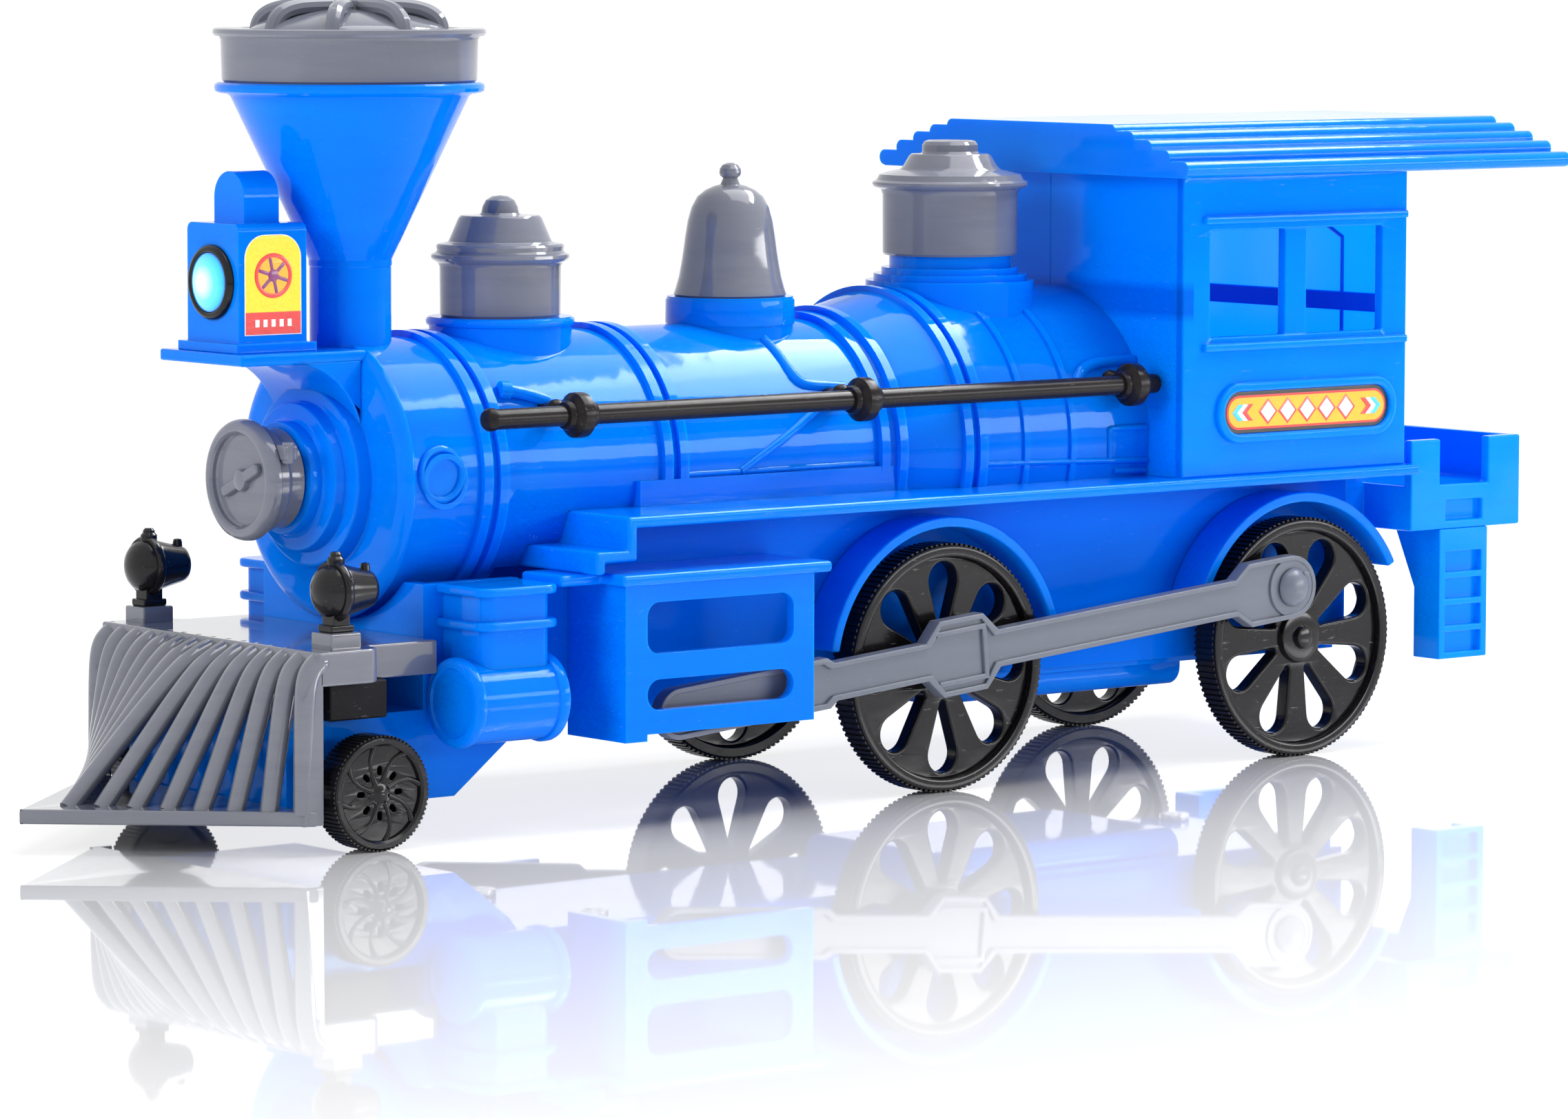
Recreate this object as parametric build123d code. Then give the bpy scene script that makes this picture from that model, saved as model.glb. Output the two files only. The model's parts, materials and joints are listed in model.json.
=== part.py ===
"""Toy steam locomotive, 4-4-0 outline, moulded in coloured plastic.

Millimetres. +X is forward, +Y is the left side, +Z is up. z = 0 is the floor that the
wheels stand on, and the origin is under the middle of the overall length and width.
Every piece is one solid in one STEP file.
"""
import os
from math import asin, cos, hypot, sin, sqrt

from build123d import *

# --- overall stations along X ---
nose_x = 121.5
roof_rear_x = -121.5
roof_front_x = -47.2

# --- fits and walls ---
shell_wall = 1.8
running_clear = 0.06
seat_clear = 0.02
face_clear = 0.3

# --- driving wheels ---
drive_r = 17.0
drive_width = 4.4
drive_outer_y = 25.1
front_drive_x = -11.2
rear_drive_x = -77.1
drive_rim_r = 15.2
drive_web = 2.4
drive_hub_r = 3.8
drive_boss_r = 1.6
drive_boss_out = 0.9
spoke_gaps = 8
gap_outer_r = 2.2
gap_outer_at = 12.1
gap_inner_r = 0.5
gap_inner_at = 5.0
rear_wheel_turn = 22.5
axle_r = 1.25
axle_engage = 3.4

# --- leading wheels ---
lead_r = 7.43
lead_width = 4.8
lead_outer_y = 26.1
lead_x = 83.7
lead_rim_r = 6.1
lead_hub_r = 1.7
lead_web = 3.2
lead_slot_w = 0.75
lead_slot_in = 2.2
lead_slot_out = 4.0

# --- crank and side rod ---
crank_dx = 5.3
crank_dz = 7.7
crank_pin_r = 1.7
crank_head_r = 2.75
crank_head_h = 1.6
crank_seat_r = 2.6
crank_end_gap = 0.4
crank_rim = 0.3
rod_inner_y = 26.5
rod_thick = 2.2
rod_border = 0.45
rod_border_w = 0.8
rod_slope = 5.3
rod_eye_r = 4.5
rod_eye_len = 8.1
rod_bar_h = 5.2
rod_front_start = 84.7
rod_front_h = 6.9
rod_tip = 113.4
rod_block_back = 54.6
rod_block_front = 67.6
rod_block_h = 10.5
rod_taper = 2.6
rod_pad = (7.6, 6.5)
rod_pad_proud = 0.2

# --- boiler ---
boiler_z = 45.9
barrel_r = 17.7
firebox_r = 21.0
barrel_front_x = 72.9
taper_front_x = -5.0
taper_rear_x = -17.0
boiler_rear_x = -51.2
band_w = 1.4
band_proud = 0.8
band_xs = (61.2, 58.6, 31.6, 29.0, -5.6, -8.2, -17.8, -20.4)
thin_band_xs = (-28.5, -37.0)
thin_band_w = 0.9
thin_band_proud = 0.4
plinth_front_x = 36.5
plinth_half_y = 18.5
plinth_top_z = 44.4
washout_x = 67.9
washout_r = 3.6
washout_ring = 0.7

# --- seats on the boiler ---
stack_x = 70.0
sand_dome_x = 45.7
bell_x = 6.75
steam_dome_x = -32.5
sand_seat_r = 9.5
sand_seat_top = 65.7
bell_seat_r = 8.6
bell_seat_top = 67.1
steam_neck_r = 8.5
steam_neck_top = 71.6
steam_steps = ((9.6, 69.9), (10.7, 69.0), (11.8, 68.1))
# (radius, height above the seat) from the rim up
sand_profile = ((8.0, 0), (8.0, 7.3), (9.2, 7.6), (9.2, 8.4), (8.5, 8.7), (8.5, 9.6), (6.8, 9.9),
                (5.4, 13.3), (2.5, 13.5), (2.4, 14.6), (1.7, 15.6), (0, 16.0))
steam_profile = ((9.4, 0), (9.4, 9.2), (10.9, 9.6), (10.9, 10.2), (10.2, 10.6), (9.9, 11.3), (6.9, 11.9),
                 (5.6, 14.0), (3.9, 14.2), (3.9, 15.4), (3.2, 15.9), (0, 16.0))
bell_lip_r = 7.7
bell_profile = ((7.4, 1.0), (6.7, 4.2), (6.15, 8.0), (5.3, 12.0), (3.4, 14.4), (0, 15.2))
bell_knob_r = 1.5
bell_knob_z = 16.6
bell_stem_r = 1.35

# --- smokebox front, lamp shelf and headlamp ---
smokebox_r = 18.9
smokebox_face_x = 75.3
smokebox_steps = ((11.8, 77.4), (9.7, 79.4), (7.4, 81.6))
door_back_r = 6.6
door_r = 7.6
door_x = 84.3
door_thick = 3.8
door_plug_r = 4.6
door_plug = 3.8
door_chamfer = 0.7
door_rim = 1.7
door_sink = 0.9
door_bar = (9.0, 1.5)
door_bar_lean = 25.0
door_boss_r = 1.5
door_hinge = 2.4
shelf_front_x = 93.6
shelf_half_y = 9.35
shelf_top_z = 62.7
shelf_thick = 1.5
gusset_reach = 10.5
lamp_back_x = 81.0
lamp_front_x = 91.6
lamp_half_y = 5.85
lamp_bottom_z = 64.5
lamp_top_z = 79.2
lamp_foot = 0.9
lamp_wall = 1.4
lamp_vent_half_y = 3.4
lamp_vent_len = 5.5
lamp_vent_top_z = 85.8
lens_r = 4.3
lens_z = 71.6
lens_bulge = 1.0
bezel_r = 5.1
bezel_thick = 0.9
label_thick = 0.2

# --- smokestack ---
stack_tube_r = 5.45
stack_cone_z = 73.9
stack_mouth_r = 15.5
stack_mouth_z = 95.6
stack_ring_r = 17.6
stack_top_z = 97.0
stack_wall = 1.5
cap_drum_r = 16.6
cap_top_z = 103.0
cap_flange_r = 17.8
cap_flange_h = 1.0
cap_dome_r = 13.4
cap_dome_h = 2.6
cap_rib_h = 1.3
cap_rib_w = 1.7
cap_ribs = 8
cap_hub_r = 3.0

# --- running board, side frames, splashers ---
board_top_z = 41.0
board_thick = 1.5
board_half_y = 30.0
board_front_x = 47.3
board_rear_x = -95.2
step_tread_x = 52.5
step_tread_z = 36.7
guide_shelf_z = 33.7
guide_shelf_thick = 1.5
frame_y = 18.5
frame_wall = 1.6
frame_bottom_z = 14.8
frame_front_x = 56.2
frame_rear_x = -91.5
splasher_r = 20.6
splasher_wall = 1.4
splasher_y = 25.0
splasher_front_angle = 10.0
splasher_ends = {"front": 168.0, "rear": 152.0}

# --- guide boxes ---
guide_front_x = 48.6
guide_rear_x = 17.1
guide_y = 31.0
guide_wall = 1.5
guide_bottom_z = 11.7
guide_step_x = 45.0
guide_step_z = 12.6
shelf_over = 1.2
shelf_rear_x = 14.9
shelf_end_x = 56.2
slot_rear_x = 20.6
slot_front_x = 45.0
upper_slot_z = (23.1, 29.8)
lower_slot_z = (15.7, 19.7)
upper_slot_corner = 1.9

# --- steam cylinders ---
cylinder_y = 23.9
cylinder_z = 17.9
cylinder_r = 5.4
cylinder_flange_r = 5.9
cylinder_flange_w = 2.2
cylinder_front_x = 71.4
cylinder_rear_x = 56.4
chest_front_x = 68.4
chest_rear_x = 57.6
chest_y = 27.3
chest_top_z = 32.8
chest_lip = 1.0
chest_lip_h = 1.2
chest_lip2_z = 28.4

# --- front frame and pilot ---
front_half_y = 18.0
front_face_x = 71.5
front_low_x = 93.0
front_low_top_z = 16.6
front_bottom_z = 5.0
front_heel_x = 66.6
front_heel_z = 11.7
front_top_z = 41.9
front_cut_z = 37.7
beam_front_x = 92.7
beam_step_x = 82.6
beam_half_y = 24.8
beam_rear_half_y = 20.9
beam_top_z = 25.9
beam_thick = 4.4
bar_count = 15
bar_r = 1.25
bar_bulge = 1.7
nose_foot_x = 114.3
side_foot_x = 94.4
plate_top_z = 5.8
plate_thick = 1.9
plate_half_y = 25.6
plate_rear_x = 93.4
side_strip = 1.2
lamp_pad = 4.4
lamp_pad_h = 2.1
marker_x = 87.5
marker_y = 21.3
marker_z = 33.2
marker_r = 4.0
marker_len = 8.0
marker_ring_r = 3.3
marker_face = 2.6
marker_rim = 2.4
marker_back_r = 2.1
marker_sink = 0.4
marker_foot = 3.0
marker_post_r = 1.15
marker_nubs = ((0.75, 1.2, 5.0), (0.6, 7.3, 3.4))
bolster_half_y = 22.0
bolster_rear_x = 80.0
bolster_front_x = 89.0

# --- cab and roof ---
cab_front_x = -51.2
cab_rear_x = -94.0
cab_half_y = 28.0
cab_wall = 1.6
window_z = (60.4, 75.2)
window_xs = ((-70.4, -56.2), (-89.2, -74.5))
ledge_z = (59.0, 76.7)
ledge_h = 1.1
ledge_proud = 0.8
ledge_inset = 3.6
sign_centre_x = -74.5
sign_z = 49.7
sign_len = 34.2
sign_h = 8.4
sign_rim = 1.2
sign_rim_proud = 0.8
sign_plate_h = 5.8
sign_plate_thick = 0.5
roof_rib_r = 1.1
roof_ribs = ((32.0, 84.0), (28.2, 85.5), (24.5, 86.8), (20.8, 87.9), (17.0, 88.8))
fascia_thick = 1.5
roof_gap = 0.1
fascia_bottom_z = 82.8
ballast_len = 8.0
ballast_half_y = 16.0
ballast_top_z = 62.6

# --- handrails ---
rail_y = 22.8
rail_z = 54.0
rail_r = 1.35
rail_front_x = 65.1
rail_rear_x = -50.9
knob_r = 3.0
knob_xs = (50.1, 2.1, -46.3)
stalk_r = 1.2
stalk_deep = 1.0

# --- rear platform and ladders ---
platform_front_x = -95.4
platform_rear_x = -117.2
platform_half_y = 28.0
platform_top_z = 44.2
platform_floor_z = 37.6
platform_bottom_z = 31.2
platform_wall = 1.6
gate_front_x = -101.2
gate_rear_x = -110.8
neck_half_y = 18.3
ladder_bottom_z = 12.4
ladder_depth = 5.3
ladder_top_depth = 9.4
ladder_kink_z = 22.5
rung_pitch = 3.87
rung_h = 0.9
ladder_rail = 1.2
rung_deep = 1.1
ladder_wall = 2.4
top_recess_z = (32.4, 35.3)

# --- belly and base cover ---
belly_front_x = -19.0
belly_rear_x = -63.0
belly_half_y = 15.0
belly_bottom_z = 10.3
belly_round = 2.6
cover_thick = 1.4
cover_z = 13.9
cover_front_x = 56.0
cover_rear_x = -91.0
screw_xs = (40.0, -87.0)
screw_y = 12.5
screw_r = 1.0
screw_head_r = 2.2
screw_head_h = 1.0
screw_len = 6.0
screw_cross = (3.0, 0.5)
lug_r = 3.2


def span(x0, x1, y0, y1, z0, z1):
    """A box from its lowest to its highest corner."""
    return Pos((x0 + x1) / 2, (y0 + y1) / 2, (z0 + z1) / 2) * Box(x1 - x0, y1 - y0, z1 - z0)


def rod_x(r, x0, x1, y, z):
    return Pos((x0 + x1) / 2, y, z) * Rot(0, 90, 0) * Cylinder(r, x1 - x0)


def rod_y(r, y0, y1, x, z):
    return Pos(x, (y0 + y1) / 2, z) * Rot(90, 0, 0) * Cylinder(r, y1 - y0)


def rod_z(r, z0, z1, x, y=0.0):
    return Pos(x, y, (z0 + z1) / 2) * Cylinder(r, z1 - z0)


def side_plane(y):
    """Sketch plane seen from the left side: local x is X and local y is Z."""
    return Plane(origin=(0, y, 0), x_dir=(1, 0, 0), z_dir=(0, -1, 0))


def side_slab(face, y0, y1):
    """A face drawn in X and Z, thickened from y0 to y1."""
    return extrude(side_plane(y1) * face, y1 - y0)


def cross_plane(x):
    """Sketch plane across the locomotive: local x is Y and local y is Z."""
    return Plane(origin=(x, 0, 0), x_dir=(0, 1, 0), z_dir=(1, 0, 0))


def cross_slab(face, x0, x1):
    """A face drawn in Y and Z, thickened from x0 to x1."""
    return extrude(cross_plane(x0) * face, x1 - x0)


def outline(*points):
    return make_face(Polyline(*points, close=True))


def turned(points, x=0.0):
    """A solid turned about the vertical line at x from (radius, z) points."""
    face = make_face(Plane.XZ * Polyline(*points, close=True))
    return Pos(x, 0, 0) * revolve(face, Axis.Z)


def drum_x(points, z=boiler_z):
    """A solid turned about the lengthwise line at height z from (x, radius) points."""
    face = make_face(Plane.XZ * Polyline(*points, close=True))
    return Pos(0, 0, z) * revolve(face, Axis.X)


def dome_x(r, x0, x1, bulge, y, z):
    """A round button along X from x0 to x1 with a domed front that stands out by bulge."""
    dome_r = (r ** 2 + bulge ** 2) / (2 * bulge)
    lean = asin(r / dome_r) / 2
    crown = (x1 + bulge - dome_r * (1 - cos(lean)), dome_r * sin(lean))
    face = make_face([Polyline((x1, r), (x0, r), (x0, 0), (x1 + bulge, 0)),
                      ThreePointArc((x1 + bulge, 0), crown, (x1, r))])
    return Pos(0, y, z) * revolve(Plane.XZ * face, Axis.X)


def teardrop(r_in, r_out, at_in, at_out):
    """A teardrop face along local y, with its wide end outermost."""
    lean = asin((r_out - r_in) / (at_out - at_in))
    c, s = cos(lean), sin(lean)
    body = outline((r_in * c, at_in - r_in * s), (r_out * c, at_out - r_out * s),
                   (-r_out * c, at_out - r_out * s), (-r_in * c, at_in - r_in * s))
    return body + Pos(0, at_in) * Circle(r_in) + Pos(0, at_out) * Circle(r_out)


def left_half(solid):
    reach = 2 * nose_x
    return solid & span(-reach, reach, 0, reach, -reach, reach)


def right_of(solid):
    return mirror(solid, about=Plane.XZ)


# ------------------------------------------------------------------ wheels and rods
def drive_wheel(x, turn):
    inner_y = drive_outer_y - drive_width
    wheel = rod_y(drive_r, inner_y, drive_outer_y, x, drive_r)
    web_y0 = drive_outer_y - 1.0 - drive_web
    wheel -= rod_y(drive_rim_r, drive_outer_y - 1.0, drive_outer_y + 1, x, drive_r)
    wheel -= rod_y(drive_rim_r, inner_y - 1, web_y0, x, drive_r)
    wheel += rod_y(drive_hub_r, inner_y, drive_outer_y, x, drive_r)
    wheel += rod_y(drive_boss_r, drive_outer_y, drive_outer_y + drive_boss_out, x, drive_r)
    gap = Sketch() + [Rot(0, 0, turn + k * 360 / spoke_gaps)
                      * teardrop(gap_inner_r, gap_outer_r, gap_inner_at, gap_outer_at)
                      for k in range(spoke_gaps)]
    wheel -= side_slab(Pos(x, drive_r) * gap, inner_y - 1, drive_outer_y)
    wheel -= rod_y(axle_r + seat_clear, inner_y - 1, inner_y + axle_engage, x, drive_r)
    return wheel


def rear_wheel(x, turn):
    """The rear driving wheel carries the crank seat and the bore that grips the pin."""
    inner_y = drive_outer_y - drive_width
    wheel = drive_wheel(x, turn)
    px, pz = x + crank_dx, drive_r + crank_dz
    wheel += rod_y(crank_seat_r, inner_y, drive_outer_y + drive_boss_out, px, pz)
    wheel -= rod_y(crank_pin_r + seat_clear, inner_y - 1, drive_outer_y + 2, px, pz)
    return wheel


def lead_wheel():
    inner_y = lead_outer_y - lead_width
    wheel = rod_y(lead_r, inner_y, lead_outer_y, lead_x, lead_r)
    face_y = lead_outer_y - 0.7
    wheel -= rod_y(lead_rim_r, face_y, lead_outer_y + 1, lead_x, lead_r)
    wheel -= rod_y(lead_rim_r, inner_y - 1, face_y - lead_web, lead_x, lead_r)
    wheel += rod_y(lead_hub_r + 0.5, inner_y, lead_outer_y - 0.2, lead_x, lead_r)
    slot_len = lead_slot_out - lead_slot_in
    slot = Pos(0, (lead_slot_in + lead_slot_out) / 2) * SlotOverall(slot_len, lead_slot_w, rotation=90)
    slots = Sketch() + [Rot(0, 0, k * 360 / spoke_gaps) * slot for k in range(spoke_gaps)]
    wheel -= side_slab(Pos(lead_x, lead_r) * slots, inner_y - 1, lead_outer_y)
    wheel -= rod_y(axle_r + seat_clear, inner_y - 1, inner_y + axle_engage, lead_x, lead_r)
    return wheel


def axle(x, z, outer_y, width):
    reach = outer_y - width + axle_engage
    return rod_y(axle_r, -reach, reach, x, z)


def rod_profile(inset=0.0):
    """The rod's outline along local x from the crank pin, shrunk all round by inset."""
    e, b = rod_eye_r - inset, rod_bar_h / 2 - inset
    m, f = rod_block_h / 2 - inset, rod_front_h / 2 - inset
    x1, x2 = rod_block_back + inset, rod_block_front - inset
    body = Circle(e)
    body += Pos(rod_eye_len / 2, 0) * Rectangle(rod_eye_len, 2 * e)
    body += outline((rod_eye_len, e), (rod_eye_len + rod_taper, b),
                    (rod_eye_len + rod_taper, -b), (rod_eye_len, -e))
    body += Pos(rod_front_start / 2, 0) * Rectangle(rod_front_start, 2 * b)
    body += outline((x1, b), (x1 + rod_taper, m), (x2 - rod_taper, m), (x2, b),
                    (x2, -b), (x2 - rod_taper, -m), (x1 + rod_taper, -m), (x1, -b))
    start = rod_front_start + inset
    tip = rod_tip - inset
    body += outline((start - rod_taper / 2, b), (start, f), (start, -f), (start - rod_taper / 2, -b))
    body += Pos((start + tip - f) / 2, 0) * Rectangle(tip - f - start, 2 * f)
    body += Pos(tip - f, 0) * Circle(f)
    return body


def side_rod():
    outer_y = rod_inner_y + rod_thick
    px, pz = rear_drive_x + crank_dx, drive_r + crank_dz
    place = Pos(px, pz) * Rot(0, 0, -rod_slope)
    rod = side_slab(place * rod_profile(), rod_inner_y, outer_y)
    rod -= side_slab(place * rod_profile(rod_border_w), outer_y - rod_border, outer_y + 1)
    mid = (rod_block_back + rod_block_front) / 2
    pad_y = outer_y - rod_border - rod_pad_proud
    rod += side_slab(place * (Pos(mid, 0) * Rectangle(*rod_pad)), pad_y, outer_y)
    rod += side_slab(place * Circle(rod_eye_r - rod_border), pad_y, outer_y - rod_pad_proud / 2)
    rod -= side_slab(place * Circle(crank_pin_r + running_clear), rod_inner_y - 1, outer_y + 1)
    return rod


def crank_pin():
    outer_y = rod_inner_y + rod_thick + crank_rim / 2
    px, pz = rear_drive_x + crank_dx, drive_r + crank_dz
    pin = rod_y(crank_pin_r, drive_outer_y - drive_width + crank_end_gap, outer_y + crank_rim, px, pz)
    head = dome_x(crank_head_r, 0, crank_rim, crank_head_h - crank_rim, 0, 0)
    return pin + Pos(px, outer_y, pz) * Rot(0, 0, 90) * head


# ------------------------------------------------------------------ boiler
def boiler_skin_r(x):
    if x >= taper_front_x:
        return barrel_r
    if x <= taper_rear_x:
        return firebox_r
    share = (taper_front_x - x) / (taper_front_x - taper_rear_x)
    return barrel_r + share * (firebox_r - barrel_r)


def deck_envelope():
    """Everything under the running board and its steps, where the barrel is cut away."""
    far = 2 * firebox_r
    low = boiler_z - far
    body = span(boiler_rear_x - 1, board_front_x, -far, far, low, board_top_z)
    body += span(board_front_x - 1, step_tread_x, -far, far, low, step_tread_z)
    body += span(step_tread_x - 1, shelf_end_x, -far, far, low, guide_shelf_z)
    return body


def boiler_half():
    wall = shell_wall
    skin = drum_x([(barrel_front_x, 0), (barrel_front_x, barrel_r), (taper_front_x, barrel_r),
                   (taper_rear_x, firebox_r), (boiler_rear_x, firebox_r), (boiler_rear_x, 0)])
    for x in band_xs:
        r = boiler_skin_r(x)
        skin += rod_x(r + band_proud, x - band_w / 2, x + band_w / 2, 0, boiler_z)
    for x in thin_band_xs:
        r = boiler_skin_r(x)
        skin += rod_x(r + thin_band_proud, x - thin_band_w / 2, x + thin_band_w / 2, 0, boiler_z)
    skin += span(boiler_rear_x, plinth_front_x, -plinth_half_y, plinth_half_y,
                 board_top_z, plinth_top_z)
    skin += rod_z(sand_seat_r, boiler_z, sand_seat_top, sand_dome_x)
    skin += rod_z(bell_seat_r, boiler_z, bell_seat_top, bell_x)
    skin += rod_z(steam_neck_r, boiler_z, steam_neck_top, steam_dome_x)
    for r, top in steam_steps:
        skin += rod_z(r, boiler_z, top, steam_dome_x)
    ring_y = barrel_r + washout_ring - 0.3
    skin += rod_y(washout_r, 0, ring_y, washout_x, boiler_z)
    skin -= rod_y(washout_r - washout_ring, barrel_r - 0.1, ring_y + 1, washout_x, boiler_z)
    cavity = drum_x([(barrel_front_x + 1, 0), (barrel_front_x + 1, barrel_r - wall),
                     (taper_front_x, barrel_r - wall), (taper_rear_x, firebox_r - wall),
                     (boiler_rear_x - 1, firebox_r - wall), (boiler_rear_x - 1, 0)])
    skin = skin - cavity - deck_envelope()
    for x in knob_xs:
        skin -= rod_y(stalk_r + seat_clear, 0, rail_y, x, rail_z)
    return left_half(skin)


def smokebox_front():
    front = rod_x(smokebox_r, barrel_front_x, smokebox_face_x, 0, boiler_z)
    for r, x in smokebox_steps:
        front += rod_x(r, smokebox_face_x, x, 0, boiler_z)
    shelf_low = shelf_top_z - shelf_thick
    front += span(barrel_front_x, shelf_front_x, -shelf_half_y, shelf_half_y,
                  shelf_low, shelf_top_z)
    arc_mid = gusset_reach * (1 - sqrt(0.5))
    gusset = make_face([Line((smokebox_face_x, shelf_low), (smokebox_face_x + gusset_reach, shelf_low)),
                        ThreePointArc((smokebox_face_x + gusset_reach, shelf_low),
                                      (smokebox_face_x + arc_mid, shelf_low - arc_mid),
                                      (smokebox_face_x, shelf_low - gusset_reach)),
                        Line((smokebox_face_x, shelf_low - gusset_reach), (smokebox_face_x, shelf_low))])
    front += side_slab(gusset, -shelf_half_y, shelf_half_y)
    front -= rod_z(stack_tube_r + seat_clear, boiler_z, stack_top_z, stack_x)
    last_x = smokebox_steps[-1][1]
    front -= rod_x(door_plug_r + seat_clear, last_x - door_plug - seat_clear, last_x + 1, 0, boiler_z)
    return front


def smokebox_door():
    last_x = smokebox_steps[-1][1]
    face_x = door_x + door_thick
    floor_x = face_x - door_sink
    door = rod_x(door_plug_r, last_x - door_plug, last_x, 0, boiler_z)
    door += rod_x(door_back_r, last_x, door_x, 0, boiler_z)
    door += rod_x(door_r, door_x, face_x, 0, boiler_z)
    door = chamfer(door.edges().filter_by(GeomType.CIRCLE).group_by(Axis.X)[-1], door_chamfer)
    door -= rod_x(door_r - door_rim, floor_x, face_x + 1, 0, boiler_z)
    door += rod_x(door_boss_r, floor_x, face_x - 0.1, 0, boiler_z)
    door += Pos(floor_x + 0.3, 0, boiler_z) * Rot(door_bar_lean, 0, 0) * Box(door_sink, *door_bar)
    hinge_z = boiler_z + door_hinge * 2 / 3
    door += span(door_x + 0.4, door_x + door_hinge, door_r - door_rim, door_r + 0.6, hinge_z,
                 hinge_z + door_hinge)
    return door


def headlamp_box():
    x0, x1, y = lamp_back_x, lamp_front_x, lamp_half_y
    lamp = span(x0, x1, -y, y, shelf_top_z, lamp_top_z)
    lamp = fillet(lamp.edges().filter_by(Axis.X).group_by(Axis.Z)[-1], 1.0)
    lamp += span(x0 - lamp_foot, x1 + lamp_foot, -y - lamp_foot, y + lamp_foot,
                 shelf_top_z, lamp_bottom_z - 0.6)
    mid = (x0 + x1) / 2
    half = lamp_vent_len / 2
    vent_side = lamp_vent_top_z - lamp_vent_half_y
    lamp += span(mid - half, mid + half, -lamp_vent_half_y, lamp_vent_half_y, lamp_top_z, vent_side)
    lamp += rod_x(lamp_vent_half_y, mid - half, mid + half, 0, vent_side)
    lamp -= span(x0 + lamp_wall, x1 - lamp_wall, -y + lamp_wall, y - lamp_wall,
                 shelf_top_z - 1, lamp_top_z - lamp_wall)
    lamp -= rod_x(lens_r - 0.6, x1 - lamp_wall - 1, x1 + 1, 0, lens_z)
    return lamp


def headlamp_bezel():
    ring = rod_x(bezel_r, lamp_front_x, lamp_front_x + bezel_thick, 0, lens_z)
    return ring - rod_x(lens_r + seat_clear, lamp_front_x - 1, lamp_front_x + 2, 0, lens_z)


def headlamp_lens():
    return dome_x(lens_r, lamp_front_x, lamp_front_x + bezel_thick, lens_bulge, 0, lens_z)


def headlamp_label():
    mid = (lamp_back_x + lamp_front_x) / 2
    half = (lamp_front_x - lamp_back_x) / 2 - 0.9
    low, top = lamp_bottom_z + 0.4, lamp_top_z - 1.4
    shape = Pos(mid, (low + top - half) / 2) * Rectangle(2 * half, top - half - low)
    shape += Pos(mid, top - half) * Circle(half)
    return side_slab(shape, lamp_half_y, lamp_half_y + label_thick)


# ------------------------------------------------------------------ stack, domes, bell
def smokestack():
    w = stack_wall
    low = boiler_z
    outer = turned([(0, low), (stack_tube_r, low), (stack_tube_r, stack_cone_z),
                    (stack_mouth_r, stack_mouth_z - 0.4), (stack_ring_r, stack_mouth_z),
                    (stack_ring_r, stack_top_z), (0, stack_top_z)], stack_x)
    inner = turned([(0, low - 1), (stack_tube_r - w, low - 1), (stack_tube_r - w, stack_cone_z),
                    (stack_mouth_r - w, stack_mouth_z), (stack_mouth_r - w, stack_top_z + 1),
                    (0, stack_top_z + 1)], stack_x)
    stack = outer - inner
    stack -= rod_x(barrel_r + seat_clear, 0, nose_x, 0, boiler_z)
    return stack


def stack_cap():
    plug_r = stack_mouth_r - stack_wall - running_clear
    top = cap_top_z + cap_flange_h
    dome_r = (cap_dome_r ** 2 + cap_dome_h ** 2) / (2 * cap_dome_h)
    dome_c = top + cap_dome_h - dome_r
    cap = rod_z(cap_drum_r, stack_top_z, cap_top_z, stack_x)
    cap += rod_z(cap_flange_r, cap_top_z, top, stack_x)
    cap += rod_z(cap_dome_r, top - 0.1, top + cap_dome_h, stack_x) & (Pos(stack_x, 0, dome_c) * Sphere(dome_r))
    rib_ball = Pos(stack_x, 0, dome_c) * Sphere(dome_r + cap_rib_h)
    rib_zone = rod_z(cap_dome_r, top - 0.1, top + cap_dome_h + cap_rib_h, stack_x)
    for k in range(cap_ribs // 2):
        bar = Pos(stack_x, 0, top) * Rot(0, 0, k * 360 / cap_ribs) * Box(2 * cap_dome_r, cap_rib_w, 12)
        cap += bar & rib_ball & rib_zone
    cap += rod_z(cap_hub_r, top, top + cap_dome_h + 0.6, stack_x)
    cap += rod_z(plug_r, stack_mouth_z, stack_top_z, stack_x)
    cap -= rod_z(plug_r - stack_wall, stack_top_z - 3, top - 1.2, stack_x)
    return cap


def seated(profile, z, x):
    """A turned dome on a round seat at height z."""
    return turned([(0, z)] + [(r, z + h) for r, h in profile], x)


def bell():
    z = bell_seat_top
    curve = [(r, z + h) for r, h in bell_profile]
    half = make_face(Plane.XZ * (
        Polyline(curve[-1], (0, z), (bell_lip_r, z), curve[0])
        + Spline(*curve, tangents=[(-0.35, 1), (-1, 0)])))
    body = Pos(bell_x, 0, 0) * revolve(half, Axis.Z)
    knob_z = z + bell_knob_z
    body += rod_z(bell_stem_r, knob_z - 2 * bell_stem_r, knob_z, bell_x)
    return body + Pos(bell_x, 0, knob_z) * Sphere(bell_knob_r)


def handrail():
    rail = rod_x(rail_r, rail_rear_x, rail_front_x, rail_y, rail_z)
    for x in knob_xs:
        skin_y = sqrt(boiler_skin_r(x) ** 2 - (rail_z - boiler_z) ** 2)
        rail += Pos(x, rail_y, rail_z) * Sphere(knob_r)
        rail += rod_y(stalk_r, skin_y - stalk_deep, rail_y, x, rail_z)
    return rail


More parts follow.
